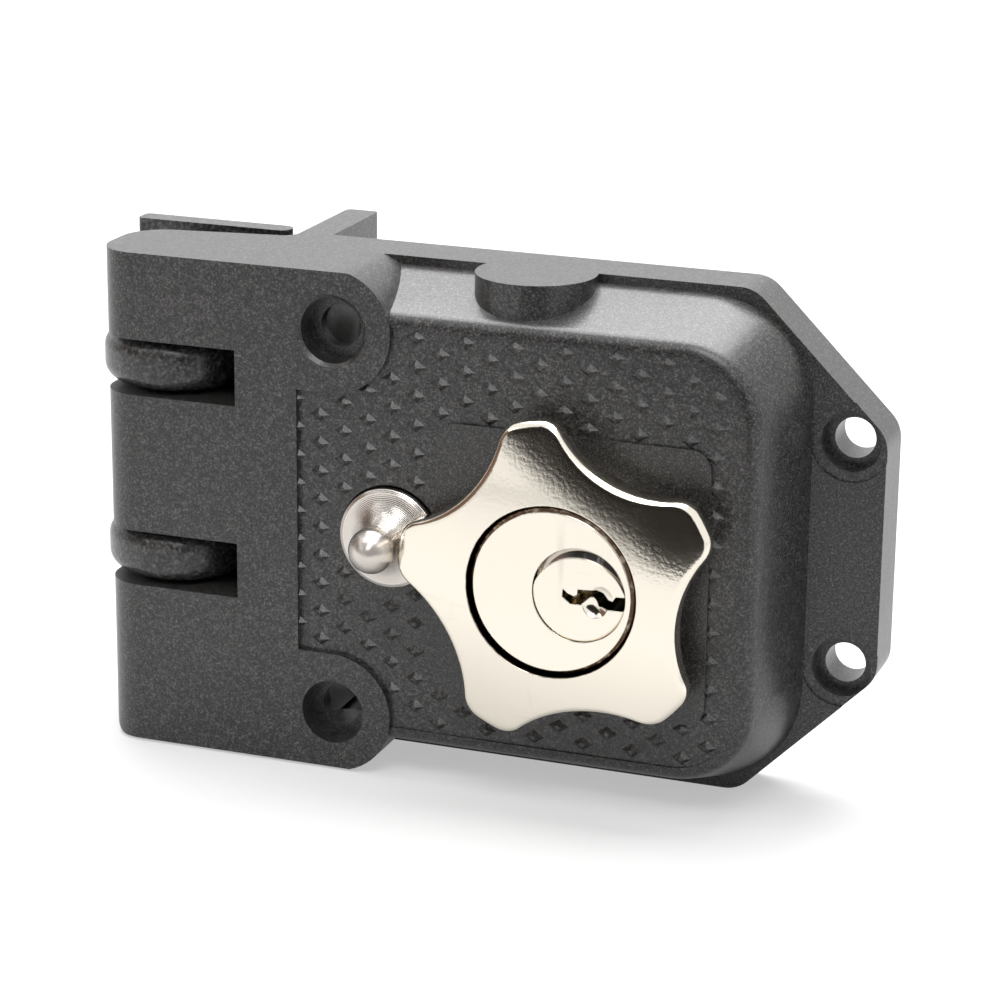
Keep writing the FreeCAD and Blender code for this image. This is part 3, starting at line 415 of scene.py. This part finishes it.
def lathe_rings():
    """Rings about an axis along Y, such as a lathe leaves; the second kind fades in places."""
    found = bpy.data.node_groups.get("Lathe rings")
    if found:
        return found
    inputs = [("Centre X", 0.0), ("Centre Z", 0.0), ("Pitch", 0.0004)]
    tree, start, end = new_group("Lathe rings", inputs, ("Ring", "Broken ring"))
    place = add(tree, "ShaderNodeTexCoord")
    apart = add(tree, "ShaderNodeSeparateXYZ")
    wire(tree, place, "Object", apart, "Vector")
    x = math_node(tree, "SUBTRACT", apart.outputs["X"], start.outputs["Centre X"])
    z = math_node(tree, "SUBTRACT", apart.outputs["Z"], start.outputs["Centre Z"])
    square = math_node(tree, "ADD", math_node(tree, "MULTIPLY", x, x),
                       math_node(tree, "MULTIPLY", z, z))
    away = math_node(tree, "DIVIDE", math_node(tree, "SQRT", square), start.outputs["Pitch"])
    along = math_node(tree, "DIVIDE", apart.outputs["Y"], start.outputs["Pitch"])
    turns = math_node(tree, "MULTIPLY", math_node(tree, "ADD", away, along), 2 * math.pi)
    wave = math_node(tree, "ADD", math_node(tree, "SINE", turns), 1.0)
    ring = math_node(tree, "MULTIPLY", wave, 0.5)
    tree.links.new(ring, end.inputs["Ring"])
    broken = math_node(tree, "MULTIPLY", ring, noise(tree, scale=260.0))
    tree.links.new(broken, end.inputs["Broken ring"])
    return tree


def seam_line():
    """Mask of a ragged line of painted shade along a round seam about the thumbturn's axis."""
    found = bpy.data.node_groups.get("Seam line")
    if found:
        return found
    tree, start, end = new_group("Seam line", [("Radius", 0.0125), ("Width", 0.0004)], ("Mask",))
    place = add(tree, "ShaderNodeTexCoord")
    flat = add(tree, "ShaderNodeVectorMath", operation="MULTIPLY")
    flat.inputs[1].default_value = (1.0, 0.0, 1.0)
    wire(tree, place, "Object", flat, 0)
    away = add(tree, "ShaderNodeVectorMath", operation="LENGTH")
    wire(tree, flat, "Vector", away, 0)
    off = math_node(tree, "SUBTRACT", away.outputs["Value"], start.outputs["Radius"])
    near = math_node(tree, "DIVIDE", math_node(tree, "ABSOLUTE", off), start.outputs["Width"])
    jitter = math_node(tree, "MULTIPLY", noise(tree, scale=900.0), 0.5)
    ragged = math_node(tree, "ADD", near, jitter)
    tree.links.new(spread(tree, ragged, low=1.25, high=0.95), end.inputs["Mask"])
    return tree


def placed(tree, group, **values):
    """Node that uses a group, with values for the group's inputs."""
    return add(tree, "ShaderNodeGroup", node_tree=group, **values)


def material_start(name, colour_value, roughness, metallic):
    """New material with a plain Principled shader; gives the material, its tree and shader."""
    material = bpy.data.materials.new(name)
    material.use_nodes = True
    tree = material.node_tree
    shader = tree.nodes["Principled BSDF"]
    shader.inputs["Roughness"].default_value = roughness
    shader.inputs["Metallic"].default_value = metallic
    shader.inputs["Base Color"].default_value = (*colour_value, 1.0)
    return material, tree, shader


def mix_colours(tree, factor, low, high):
    """Mix two colours, each a tuple or a socket, by a socket's value."""
    mix = add(tree, "ShaderNodeMix", data_type="RGBA")
    tree.links.new(factor, mix.inputs["Factor"])
    first_colour, second_colour = mix.inputs[6], mix.inputs[7]
    for socket, value in ((first_colour, low), (second_colour, high)):
        is_output = isinstance(value, bpy.types.NodeSocket)
        feed(tree, value if is_output else (*value, 1.0), socket)
    return mix.outputs[2]


def soft_normal(tree, shader, edge, height, distance, strength=1.0):
    """Rounded-looking edges and a bump on the shader's Normal."""
    bump = add(tree, "ShaderNodeBump", Strength=strength, Distance=distance)
    tree.links.new(height, bump.inputs["Height"])
    if edge > 0.0:
        bevel = add(tree, "ShaderNodeBevel", samples=6, Radius=edge)
        wire(tree, bevel, "Normal", bump, "Normal")
    wire(tree, bump, "Normal", shader, "Normal")


def shade(value, factor):
    """Colour made darker, or lighter up to white."""
    return tuple(min(1.0, v * factor) for v in value)


# Finishes

def coat_finish(name, settings, roughness, depth, fineness):
    """Matt black coat on a casting."""
    found = bpy.data.materials.get(name)
    if found:
        return found
    material, tree, shader = material_start(name, settings.coat, roughness, metallic=0.0)
    shader.inputs["Specular IOR Level"].default_value = settings.gloss
    shader.inputs["Coat Weight"].default_value = settings.sheen
    shader.inputs["Coat Roughness"].default_value = 0.3
    grain = placed(tree, cast_grain(), Fineness=fineness, Patches=70.0)
    patch = grain.outputs["Patch"]
    low = mix_colours(tree, patch, shade(settings.coat, 0.1), shade(settings.coat, 0.2))
    high = mix_colours(tree, patch, shade(settings.coat, 1.6), shade(settings.coat, 1.9))
    toned = mix_colours(tree, grain.outputs["Tone"], low, high)
    flecked = mix_colours(tree, grain.outputs["Speck"], toned, settings.speck)
    tree.links.new(flecked, shader.inputs["Base Color"])
    swing = 0.08
    rough = math_node(tree, "ADD", math_node(tree, "MULTIPLY", patch, swing), roughness - swing / 2)
    tree.links.new(rough, shader.inputs["Roughness"])
    soft_normal(tree, shader, settings.edge, grain.outputs["Height"], depth)
    return material


def nickel_finish(name, settings, roughness, scratch, peel_depth):
    """Bright nickel plate with the marks of use, and painted shade along the seam round the key
    cylinder.
    """
    found = bpy.data.materials.get(name)
    if found:
        return found
    material, tree, shader = material_start(name, settings.plate, roughness, metallic=1.0)
    marks = placed(tree, handling_marks(), Scratches=1.0 / scratch, Smears=55.0)
    scratches = marks.outputs["Scratch"]
    worn = mix_colours(tree, scratches, settings.plate, shade(settings.plate, 0.88))
    seam = placed(tree, seam_line(), Radius=SEAM_R, Width=settings.seam)
    # Painted shade: a dark brown line along the seam between the thumbturn's bore and the key
    # cylinder, where the gap between them falls in shade.
    seam_shade_colour = (0.1, 0.065, 0.05)
    tree.links.new(mix_colours(tree, seam.outputs["Mask"], worn, seam_shade_colour), shader.inputs["Base Color"])
    smeared = math_node(tree, "MULTIPLY", marks.outputs["Smear"], 0.04)
    scored = math_node(tree, "MULTIPLY", scratches, 0.06)
    rough = math_node(tree, "ADD", scored, math_node(tree, "ADD", smeared, roughness))
    tree.links.new(rough, shader.inputs["Roughness"])
    pits = spread(tree, noise(tree, 1.0 / settings.peel), low=0.3, high=0.6)
    lines = math_node(tree, "MULTIPLY", scratches, 0.2)
    height = math_node(tree, "SUBTRACT", pits, lines)
    soft_normal(tree, shader, settings.edge, height, peel_depth)
    return material


def turned_finish(name, colour_value, centre_x, centre_z, pitch, roughness, depth):
    """Steel with rings from the lathe about a centre."""
    found = bpy.data.materials.get(name)
    if found:
        return found
    material, tree, shader = material_start(name, colour_value, roughness, metallic=1.0)
    rings = placed(tree, lathe_rings(), Centre_X=centre_x, Centre_Z=centre_z, Pitch=pitch)
    toned = mix_colours(tree, rings.outputs["Broken ring"], colour_value, shade(colour_value, 0.72))
    tree.links.new(toned, shader.inputs["Base Color"])
    ring = rings.outputs["Ring"]
    rough = math_node(tree, "ADD", math_node(tree, "MULTIPLY", ring, 0.1), roughness)
    tree.links.new(rough, shader.inputs["Roughness"])
    soft_normal(tree, shader, 0.0, ring, depth)
    return material


def metal_finish(name, colour_value, roughness, scratch):
    """Plain metal with light tool marks."""
    found = bpy.data.materials.get(name)
    if found:
        return found
    material, tree, shader = material_start(name, colour_value, roughness, metallic=1.0)
    marks = placed(tree, handling_marks(), Scratches=1.0 / scratch, Smears=120.0)
    toned = mix_colours(tree, marks.outputs["Smear"], shade(colour_value, 0.96),
                        shade(colour_value, 1.02))
    tree.links.new(toned, shader.inputs["Base Color"])
    scratches = marks.outputs["Scratch"]
    rough = math_node(tree, "ADD", math_node(tree, "MULTIPLY", scratches, 0.15), roughness)
    tree.links.new(rough, shader.inputs["Roughness"])
    soft_normal(tree, shader, 0.15 * MM, scratches, 0.01 * MM, strength=0.4)
    return material


def steel_finish():
    """Ground steel of pins, springs and screws."""
    return metal_finish("ground_steel", (0.58, 0.575, 0.565), roughness=0.3, scratch=1.2 * MM)


def zinc_finish():
    """Zinc plate of the back plate, its screws and the carriage."""
    return metal_finish("zinc_plate", (0.55, 0.56, 0.57), roughness=0.42, scratch=2.5 * MM)


def brass_finish():
    """Brass of the key cylinder's pins."""
    return metal_finish("plain_brass", (0.70, 0.52, 0.25), roughness=0.32, scratch=1.0 * MM)


def rubbed_finish():
    """Light worn skin of the stop, which the carriage has rubbed bare."""
    found = bpy.data.materials.get("rubbed_stop")
    if found:
        return found
    base = (0.8, 0.8, 0.78)
    material, tree, shader = material_start("rubbed_stop", base, roughness=0.5, metallic=0.0)
    wear = noise(tree, scale=1400.0, detail=3.0)
    toned = mix_colours(tree, wear, (0.5, 0.5, 0.48), (1.0, 0.99, 0.96))
    tree.links.new(toned, shader.inputs["Base Color"])
    soft_normal(tree, shader, 0.0, wear, 0.02 * MM)
    return material


# Pieces

class GATELOCK_OT_case(bpy.types.Operator):
    """Cast case with its studs, in the matt black coat"""
    bl_idname = "gate_lock.case"
    bl_label = "Case"

    def execute(self, context):
        settings = context.scene.gate_lock_coat
        coat = coat_finish("sprayed_black", settings, settings.roughness, settings.grain_depth,
                           1.0 / settings.grain)
        smooth_copy("case", "case_casting", coat)
        return {"FINISHED"}


def swell_eyes(bm, s):
    """Push the eyes' left and front sides out, past the knuckle block, but not their pin holes."""
    plate_front = max(v.co.y for v in bm.verts) - s.plate
    centre_y = min(v.co.y for v in bm.verts) + s.eye_r
    for vert in bm.verts:
        x = vert.co.x - PIN_X
        y = min(0.0, vert.co.y - centre_y)
        away = math.hypot(x, y)
        on_eye = vert.co.y <= plate_front + SLACK and s.core_r <= away <= s.eye_r + 2 * SLACK
        if not on_eye:
            continue
        full = min(1.0, (away - s.core_r) / (s.rim_r - s.core_r))
        neck = 1.0 - s.waist * max(0.0, vert.co.y - centre_y) / (plate_front - centre_y)
        vert.co.x -= s.reach_left * full * neck * max(0.0, -x / away)
        vert.co.y -= s.reach_front * full * max(0.0, -y / away)


class GATELOCK_OT_strike(bpy.types.Operator):
    """Strike with two eyes, a rougher casting in the same coat"""
    bl_idname = "gate_lock.strike"
    bl_label = "Strike"

    def execute(self, context):
        settings = context.scene.gate_lock_coat
        shinier = 0.06
        deeper = 2.2
        coarser = 0.6
        coat = coat_finish("sprayed_black_rough", settings, settings.roughness - shinier,
                           deeper * settings.grain_depth, coarser / settings.grain)
        eyes = context.scene.gate_lock_strike
        smooth_copy("strike", "strike_casting", coat,
                    reshape=lambda bm: swell_eyes(bm, eyes))
        return {"FINISHED"}


def star_radius(angle, s):
    """Distance of the star's outline from its axis at an angle."""
    pitch = 2 * math.pi / s.lobes
    corner_at = s.tip_r - s.corner_r
    hollow_at = s.valley_r + s.hollow_r
    reach = s.corner_r + s.hollow_r
    cosine = (corner_at ** 2 + hollow_at ** 2 - reach ** 2) / (2 * corner_at * hollow_at)
    spread_angle = pitch / 2 - math.acos(cosine)
    off = abs((angle - s.first + pitch / 2) % pitch - pitch / 2)
    if off <= spread_angle:
        return s.tip_r
    corner = Vector((math.cos(spread_angle), math.sin(spread_angle))) * corner_at
    hollow = Vector((math.cos(pitch / 2), math.sin(pitch / 2))) * hollow_at
    meet = corner + (hollow - corner) * (s.corner_r / reach)
    if off <= math.atan2(meet.y, meet.x):
        side = off - spread_angle
        rise = math.sqrt(s.corner_r ** 2 - (corner_at * math.sin(side)) ** 2)
        return corner_at * math.cos(side) + rise
    side = pitch / 2 - off
    dip = math.sqrt(s.hollow_r ** 2 - (hollow_at * math.sin(side)) ** 2)
    return hollow_at * math.cos(side) - dip


def star_rings(s):
    """Rings of the thumbturn from its bore over the face, round the rim and along the barrel.

    Each ring is two functions: the radius at an angle, and the depth at that radius.
    """
    start_r = s.bore_r + s.lip
    top = math.sqrt(s.crown_r ** 2 - start_r ** 2)
    rear = STAR_FRONT + s.thick
    hub_back = rear + s.hub_end
    barrel_back = BARREL_END - s.dog_way

    def face(r):
        """Depth of the crowned face at a radius."""
        return STAR_FRONT + top - math.sqrt(s.crown_r ** 2 - max(start_r, r) ** 2)

    def face_width(a):
        """Width of the face from the bore to the rim at an angle."""
        return star_radius(a, s) - s.edge_r - start_r

    rings = [(lambda a: s.bore_r, lambda r: STAR_FRONT + s.lip)]
    for i in range(FACE_STEPS + 1):
        rings.append((lambda a, t=i / FACE_STEPS: start_r + face_width(a) * t, face))
    for i in range(1, EDGE_STEPS + 1):
        turn = math.radians(90 * i / EDGE_STEPS)
        rings.append((lambda a, t=turn: star_radius(a, s) - s.edge_r * (1 - math.sin(t)),
                      lambda r, t=turn: face(r) + s.edge_r * (1 - math.cos(t))))
    for i in range(BACK_EDGE_STEPS + 1):
        turn = math.radians(90 * i / BACK_EDGE_STEPS)
        rings.append((lambda a, t=turn: star_radius(a, s) - s.back_edge_r * (1 - math.cos(t)),
                      lambda r, t=turn: rear - s.back_edge_r * (1 - math.sin(t))))
    for radius, depth in ((s.hub_r, rear), (s.hub_r, hub_back), (s.barrel_r, hub_back),
                          (s.barrel_r, barrel_back), (s.bore_r, barrel_back)):
        rings.append((lambda a, q=radius: q, lambda r, q=depth: q))
    return rings


class GATELOCK_OT_star(bpy.types.Operator):
    """Nickel-plated thumbturn: a star with a crowned face, its hub and its barrel"""
    bl_idname = "gate_lock.star"
    bl_label = "Thumbturn"

    def execute(self, context):
        s = context.scene.gate_lock_star
        nickel = context.scene.gate_lock_nickel
        bm = bmesh.new()
        loop = bmesh.ops.create_circle(bm, segments=STEPS_PER_LOBE * s.lobes, radius=1.0)["verts"]
        for vert in loop:
            vert.co = Vector((vert.co.x, 0.0, vert.co.y))
        first_loop = list(loop)
        edges = list(bm.edges)
        for number, (radius_at, depth_at) in enumerate(star_rings(s)):
            if number:
                made = bmesh.ops.extrude_edge_only(bm, edges=edges)["geom"]
                edges = [g for g in made if isinstance(g, bmesh.types.BMEdge)]
                loop = [g for g in made if isinstance(g, bmesh.types.BMVert)]
                edges = [e for e in edges if e.verts[0] in loop and e.verts[1] in loop]
            for vert in loop:
                angle = math.atan2(vert.co.z, vert.co.x)
                radius = radius_at(angle)
                vert.co = Vector((radius * math.cos(angle), depth_at(radius),
                                  radius * math.sin(angle)))
        first_edges = [e for e in bm.edges if e.verts[0] in first_loop and e.verts[1] in first_loop]
        bmesh.ops.bridge_loops(bm, edges=edges + first_edges)
        bmesh.ops.recalc_face_normals(bm, faces=bm.faces)
        plate = nickel_finish("bright_nickel", nickel, nickel.roughness, nickel.scratch,
                              nickel.peel_depth)
        piece = finished(bm, "star_thumbturn", "thumbturn", plate)
        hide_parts("star_knob")
        return {"FINISHED"}


class GATELOCK_OT_cylinder(bpy.types.Operator):
    """Key cylinder: its shell, the plug with the keyway and the hard insert"""
    bl_idname = "gate_lock.cylinder"
    bl_label = "Key cylinder"

    def execute(self, context):
        nickel = context.scene.gate_lock_nickel
        duller = 0.02
        wider = 2.0
        flatter = 0.3
        face = nickel_finish("bright_nickel_face", nickel, nickel.roughness + duller,
                             wider * nickel.scratch, flatter * nickel.peel_depth)
        hard = metal_finish("hardened_steel", (0.66, 0.64, 0.62), roughness=0.14,
                            scratch=2.0 * MM)
        smooth_copy("cylinder_body", "cylinder_shell", face)
        smooth_copy("cylinder_plug", "keyway_plug", face)
        smooth_copy("plug_insert", "plug_crescent", hard)
        paint(brass_finish(), "driver_pins", "key_pins", "chamber_cover")
        paint(steel_finish(), "pin_springs", "plug_cam", "cam_screws", "cylinder_set_screw")
        return {"FINISHED"}


def button_profile(s):
    """Half section of the button as (radius, y) points from its tip to its back."""
    ball_y = BUTTON_TIP + s.ball_r
    flare_x = s.disc_r - s.bevel
    disc_front = BUTTON_BACK - s.disc
    rim_y = disc_front - s.rim
    flare_y = rim_y - s.flare_r
    span = math.hypot(flare_x, flare_y - ball_y)
    across = math.atan2(flare_y - ball_y, flare_x)
    bend = math.acos((s.ball_r ** 2 + span ** 2 - s.flare_r ** 2) / (2 * s.ball_r * span))
    meet = math.degrees(across + bend)
    meet_r = s.ball_r * math.cos(math.radians(meet))
    meet_y = ball_y + s.ball_r * math.sin(math.radians(meet))
    start = math.degrees(math.atan2(meet_y - flare_y, meet_r - flare_x))
    points = arc(0.0, ball_y, s.ball_r, -90.0, meet, BALL_STEPS)
    points[0] = (0.0, BUTTON_TIP)
    points += arc(flare_x, flare_y, s.flare_r, start, 90.0, FLARE_STEPS)[1:]
    points += [(s.disc_r - s.corner_in, disc_front - s.corner_front),
               (s.disc_r, disc_front + s.corner_back), (s.disc_r, BUTTON_BACK), (0.0, BUTTON_BACK)]
    return points


class GATELOCK_OT_button(bpy.types.Operator):
    """Turned push button, its stem and its clip"""
    bl_idname = "gate_lock.button"
    bl_label = "Push button"

    def execute(self, context):
        s = context.scene.gate_lock_button
        bm = spun(button_profile(s), Vector((BUTTON_X, 0.0, BUTTON_Z)), BUTTON_STEPS)
        steel = turned_finish("lathe_turned_steel", s.steel, BUTTON_X, BUTTON_Z, s.ring,
                              s.roughness, s.ring_depth)
        piece = finished(bm, "turned_button", "button", steel, sharp=25.0)
        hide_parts("holdback_button")
        paint(steel_finish(), "button_stem", "button_clip", "button_detent_ring")
        return {"FINISHED"}


class GATELOCK_OT_bolt_work(bpy.types.Operator):
    """Bolt pins, carriage, crank and locking dog inside the case"""
    bl_idname = "gate_lock.bolt_work"
    bl_label = "Bolt work"

    def execute(self, context):
        paint(steel_finish(), "bolt_pins", "crank_hub", "crank_roller", "locking_dog",
              "friction_washer")
        paint(zinc_finish(), "bolt_carriage", "hub_screws")
        return {"FINISHED"}


class GATELOCK_OT_back(bpy.types.Operator):
    """Back plate with its screws, guide stud and stop"""
    bl_idname = "gate_lock.back"
    bl_label = "Back plate"

    def execute(self, context):
        zinc = zinc_finish()
        smooth_copy("back_plate", "zinc_back_plate", zinc)
        smooth_copy("back_plate_screws", "zinc_screws", zinc)
        paint(rubbed_finish(), "carriage_stop")
        paint(steel_finish(), "guide_stud")
        return {"FINISHED"}


def flat_card(name, size, stand, material):
    """Flat rectangle of the studio, such as the floor; stand moves it from the XY plane."""
    bm = bmesh.new()
    bmesh.ops.create_grid(bm, x_segments=1, y_segments=1, size=0.5)
    bmesh.ops.scale(bm, vec=(size[0], size[1], 1.0), verts=bm.verts)
    bmesh.ops.transform(bm, matrix=stand, verts=bm.verts)
    mesh = bpy.data.meshes.new(name)
    bm.to_mesh(mesh)
    bm.free()
    mesh.materials.append(material)
    card = bpy.data.objects.new(name, mesh)
    bpy.context.scene.collection.objects.link(card)
    return card


def fading_card(name, size, place, lean, turn, tone, fade):
    """Upright card that only bright metal mirrors, white at its foot and fading to a dark tone."""
    black = (0.0, 0.0, 0.0)
    white = (1.0, 1.0, 1.0)
    material, tree, shader = material_start(name, black, roughness=1.0, metallic=0.0)
    shader.inputs["Specular IOR Level"].default_value = 0.0
    shader.inputs["Emission Strength"].default_value = 1.0
    stand = (Matrix.Translation(place) @ Matrix.Rotation(math.radians(turn), 4, "Z")
             @ Matrix.Rotation(math.radians(lean), 4, "Y"))
    up = (stand.to_3x3() @ Vector((0.0, 0.0, 1.0))).normalized()
    place_node = add(tree, "ShaderNodeTexCoord")
    height = add(tree, "ShaderNodeVectorMath", operation="DOT_PRODUCT")
    height.inputs[1].default_value = up
    wire(tree, place_node, "Object", height, 0)
    foot = up.dot(Vector(place)) - size[1] / 2
    rise = spread(tree, height.outputs["Value"], foot, foot + fade)
    tree.links.new(mix_colours(tree, rise, white, tone), shader.inputs["Emission Color"])
    upright = Matrix.Rotation(math.radians(90), 4, "X")
    card = flat_card(name, size, stand @ upright, material)
    card.visible_camera = False
    card.visible_diffuse = False
    card.visible_shadow = False


def area_light(name, power, size, place):
    """Rectangular light that looks at the origin."""
    light = bpy.data.lights.new(name, "AREA")
    light.energy = power
    light.shape = "RECTANGLE"
    light.size = size[0]
    light.size_y = size[1]
    lamp = bpy.data.objects.new(name, light)
    bpy.context.scene.collection.objects.link(lamp)
    lamp.location = place
    lamp.rotation_euler = (-Vector(place)).to_track_quat("-Z", "Y").to_euler()


def white_world(strength):
    """Even light from all round, with a white backdrop for the camera."""
    world = bpy.data.worlds.new("studio")
    bpy.context.scene.world = world
    world.use_nodes = True
    tree = world.node_tree
    background = tree.nodes["Background"]
    background.inputs["Color"].default_value = (1.0, 1.0, 1.0, 1.0)
    level = add(tree, "ShaderNodeMapRange", To_Min=strength, To_Max=1.0)
    tree.links.new(seen_direct(tree), level.inputs["Value"])
    wire(tree, level, "Result", background, "Strength")


def seen_direct(tree, mirrored_share=1.0):
    """1 for the camera, a share for what metal or glass shows, 0 for light on surfaces."""
    path = add(tree, "ShaderNodeLightPath")
    mirrored = math_node(tree, "MAXIMUM", path.outputs["Is Glossy Ray"],
                         path.outputs["Is Transmission Ray"])
    mirrored = math_node(tree, "MULTIPLY", mirrored, mirrored_share)
    return math_node(tree, "MAXIMUM", path.outputs["Is Camera Ray"], mirrored)


def pale_floor(s):
    """Matt floor that the camera and the metal see whiter, the more so the further away."""
    material, tree, shader = material_start("pale_floor", s.floor, roughness=0.9, metallic=0.0)
    toned = mix_colours(tree, noise(tree, scale=9.0), shade(s.floor, 0.99), s.floor)
    tree.links.new(toned, shader.inputs["Base Color"])
    shader.inputs["Emission Color"].default_value = (1.0, 1.0, 1.0, 1.0)
    place = add(tree, "ShaderNodeTexCoord")
    away = add(tree, "ShaderNodeVectorMath", operation="LENGTH")
    wire(tree, place, "Object", away, 0)
    lift = add(tree, "ShaderNodeMapRange", From_Min=LIFT_FROM, From_Max=WHITE_FROM,
               To_Min=s.lift, To_Max=1.0)
    wire(tree, away, "Value", lift, "Value")
    glow = math_node(tree, "MULTIPLY", seen_direct(tree, FLOOR_MIRRORED), lift.outputs["Result"])
    tree.links.new(glow, shader.inputs["Emission Strength"])
    under = Matrix.Translation((0.0, 0.0, CAD_BOX[0][2] - FLOOR_GAP))
    flat_card("floor", (FLOOR_SIZE, FLOOR_SIZE), under, material)


def photo_camera(s):
    """Camera at the photograph's viewing angle."""
    camera = bpy.data.cameras.new("camera")
    camera.lens = s.lens
    camera.sensor_width = 36.0
    camera.clip_start = 0.01
    eye = bpy.data.objects.new("camera", camera)
    bpy.context.scene.collection.objects.link(eye)
    turn = (Matrix.Rotation(s.azimuth, 4, "Z") @ Matrix.Rotation(math.pi / 2 - s.elevation, 4, "X")
            @ Matrix.Rotation(s.roll, 4, "Z"))
    eye.matrix_world = Matrix.Translation(s.target) @ turn @ Matrix.Translation((0, 0, s.distance))
    bpy.context.scene.camera = eye


class GATELOCK_OT_stage(bpy.types.Operator):
    """Pale floor, soft light and the photograph's camera"""
    bl_idname = "gate_lock.stage"
    bl_label = "Studio"

    def execute(self, context):
        s = context.scene.gate_lock_stage
        context.scene.view_settings.view_transform = "Standard"
        white_world(s.sky)
        pale_floor(s)
        for card in CARDS:
            fading_card(**card)
        for light in LIGHTS:
            area_light(light["name"], getattr(s, light["power"]), light["size"], light["place"])
        photo_camera(s)
        return {"FINISHED"}


class GATELOCK_PT_panel(bpy.types.Panel):
    """Lists the gate lock's pieces and their settings"""
    bl_idname = "GATELOCK_PT_panel"
    bl_label = "Gate lock"
    bl_space_type = "VIEW_3D"
    bl_region_type = "UI"
    bl_category = "Gate lock"

    def draw(self, context):
        for operator in OPERATORS:
            self.layout.operator(operator.bl_idname)
        for name, group in SETTINGS.items():
            box = self.layout.box()
            for key in group.__annotations__:
                box.prop(getattr(context.scene, name), key)


SETTINGS = {
    "gate_lock_coat": CoatSettings,
    "gate_lock_strike": StrikeSettings,
    "gate_lock_nickel": NickelSettings,
    "gate_lock_star": StarSettings,
    "gate_lock_button": ButtonSettings,
    "gate_lock_stage": StageSettings,
}
OPERATORS = (GATELOCK_OT_case, GATELOCK_OT_strike, GATELOCK_OT_star, GATELOCK_OT_cylinder,
             GATELOCK_OT_button, GATELOCK_OT_bolt_work, GATELOCK_OT_back, GATELOCK_OT_stage)


def register():
    for cls in (*SETTINGS.values(), *OPERATORS, GATELOCK_PT_panel):
        bpy.utils.register_class(cls)
    for name, group in SETTINGS.items():
        setattr(bpy.types.Scene, name, PointerProperty(type=group))


def unregister():
    for name in SETTINGS:
        delattr(bpy.types.Scene, name)
    for cls in reversed((*SETTINGS.values(), *OPERATORS, GATELOCK_PT_panel)):
        bpy.utils.unregister_class(cls)


def main():
    register()
    bpy.ops.gate_lock.case()
    bpy.ops.gate_lock.strike()
    bpy.ops.gate_lock.star()
    bpy.ops.gate_lock.cylinder()
    bpy.ops.gate_lock.button()
    bpy.ops.gate_lock.bolt_work()
    bpy.ops.gate_lock.back()
    bpy.ops.gate_lock.stage()


if __name__ == "__main__":
    main()
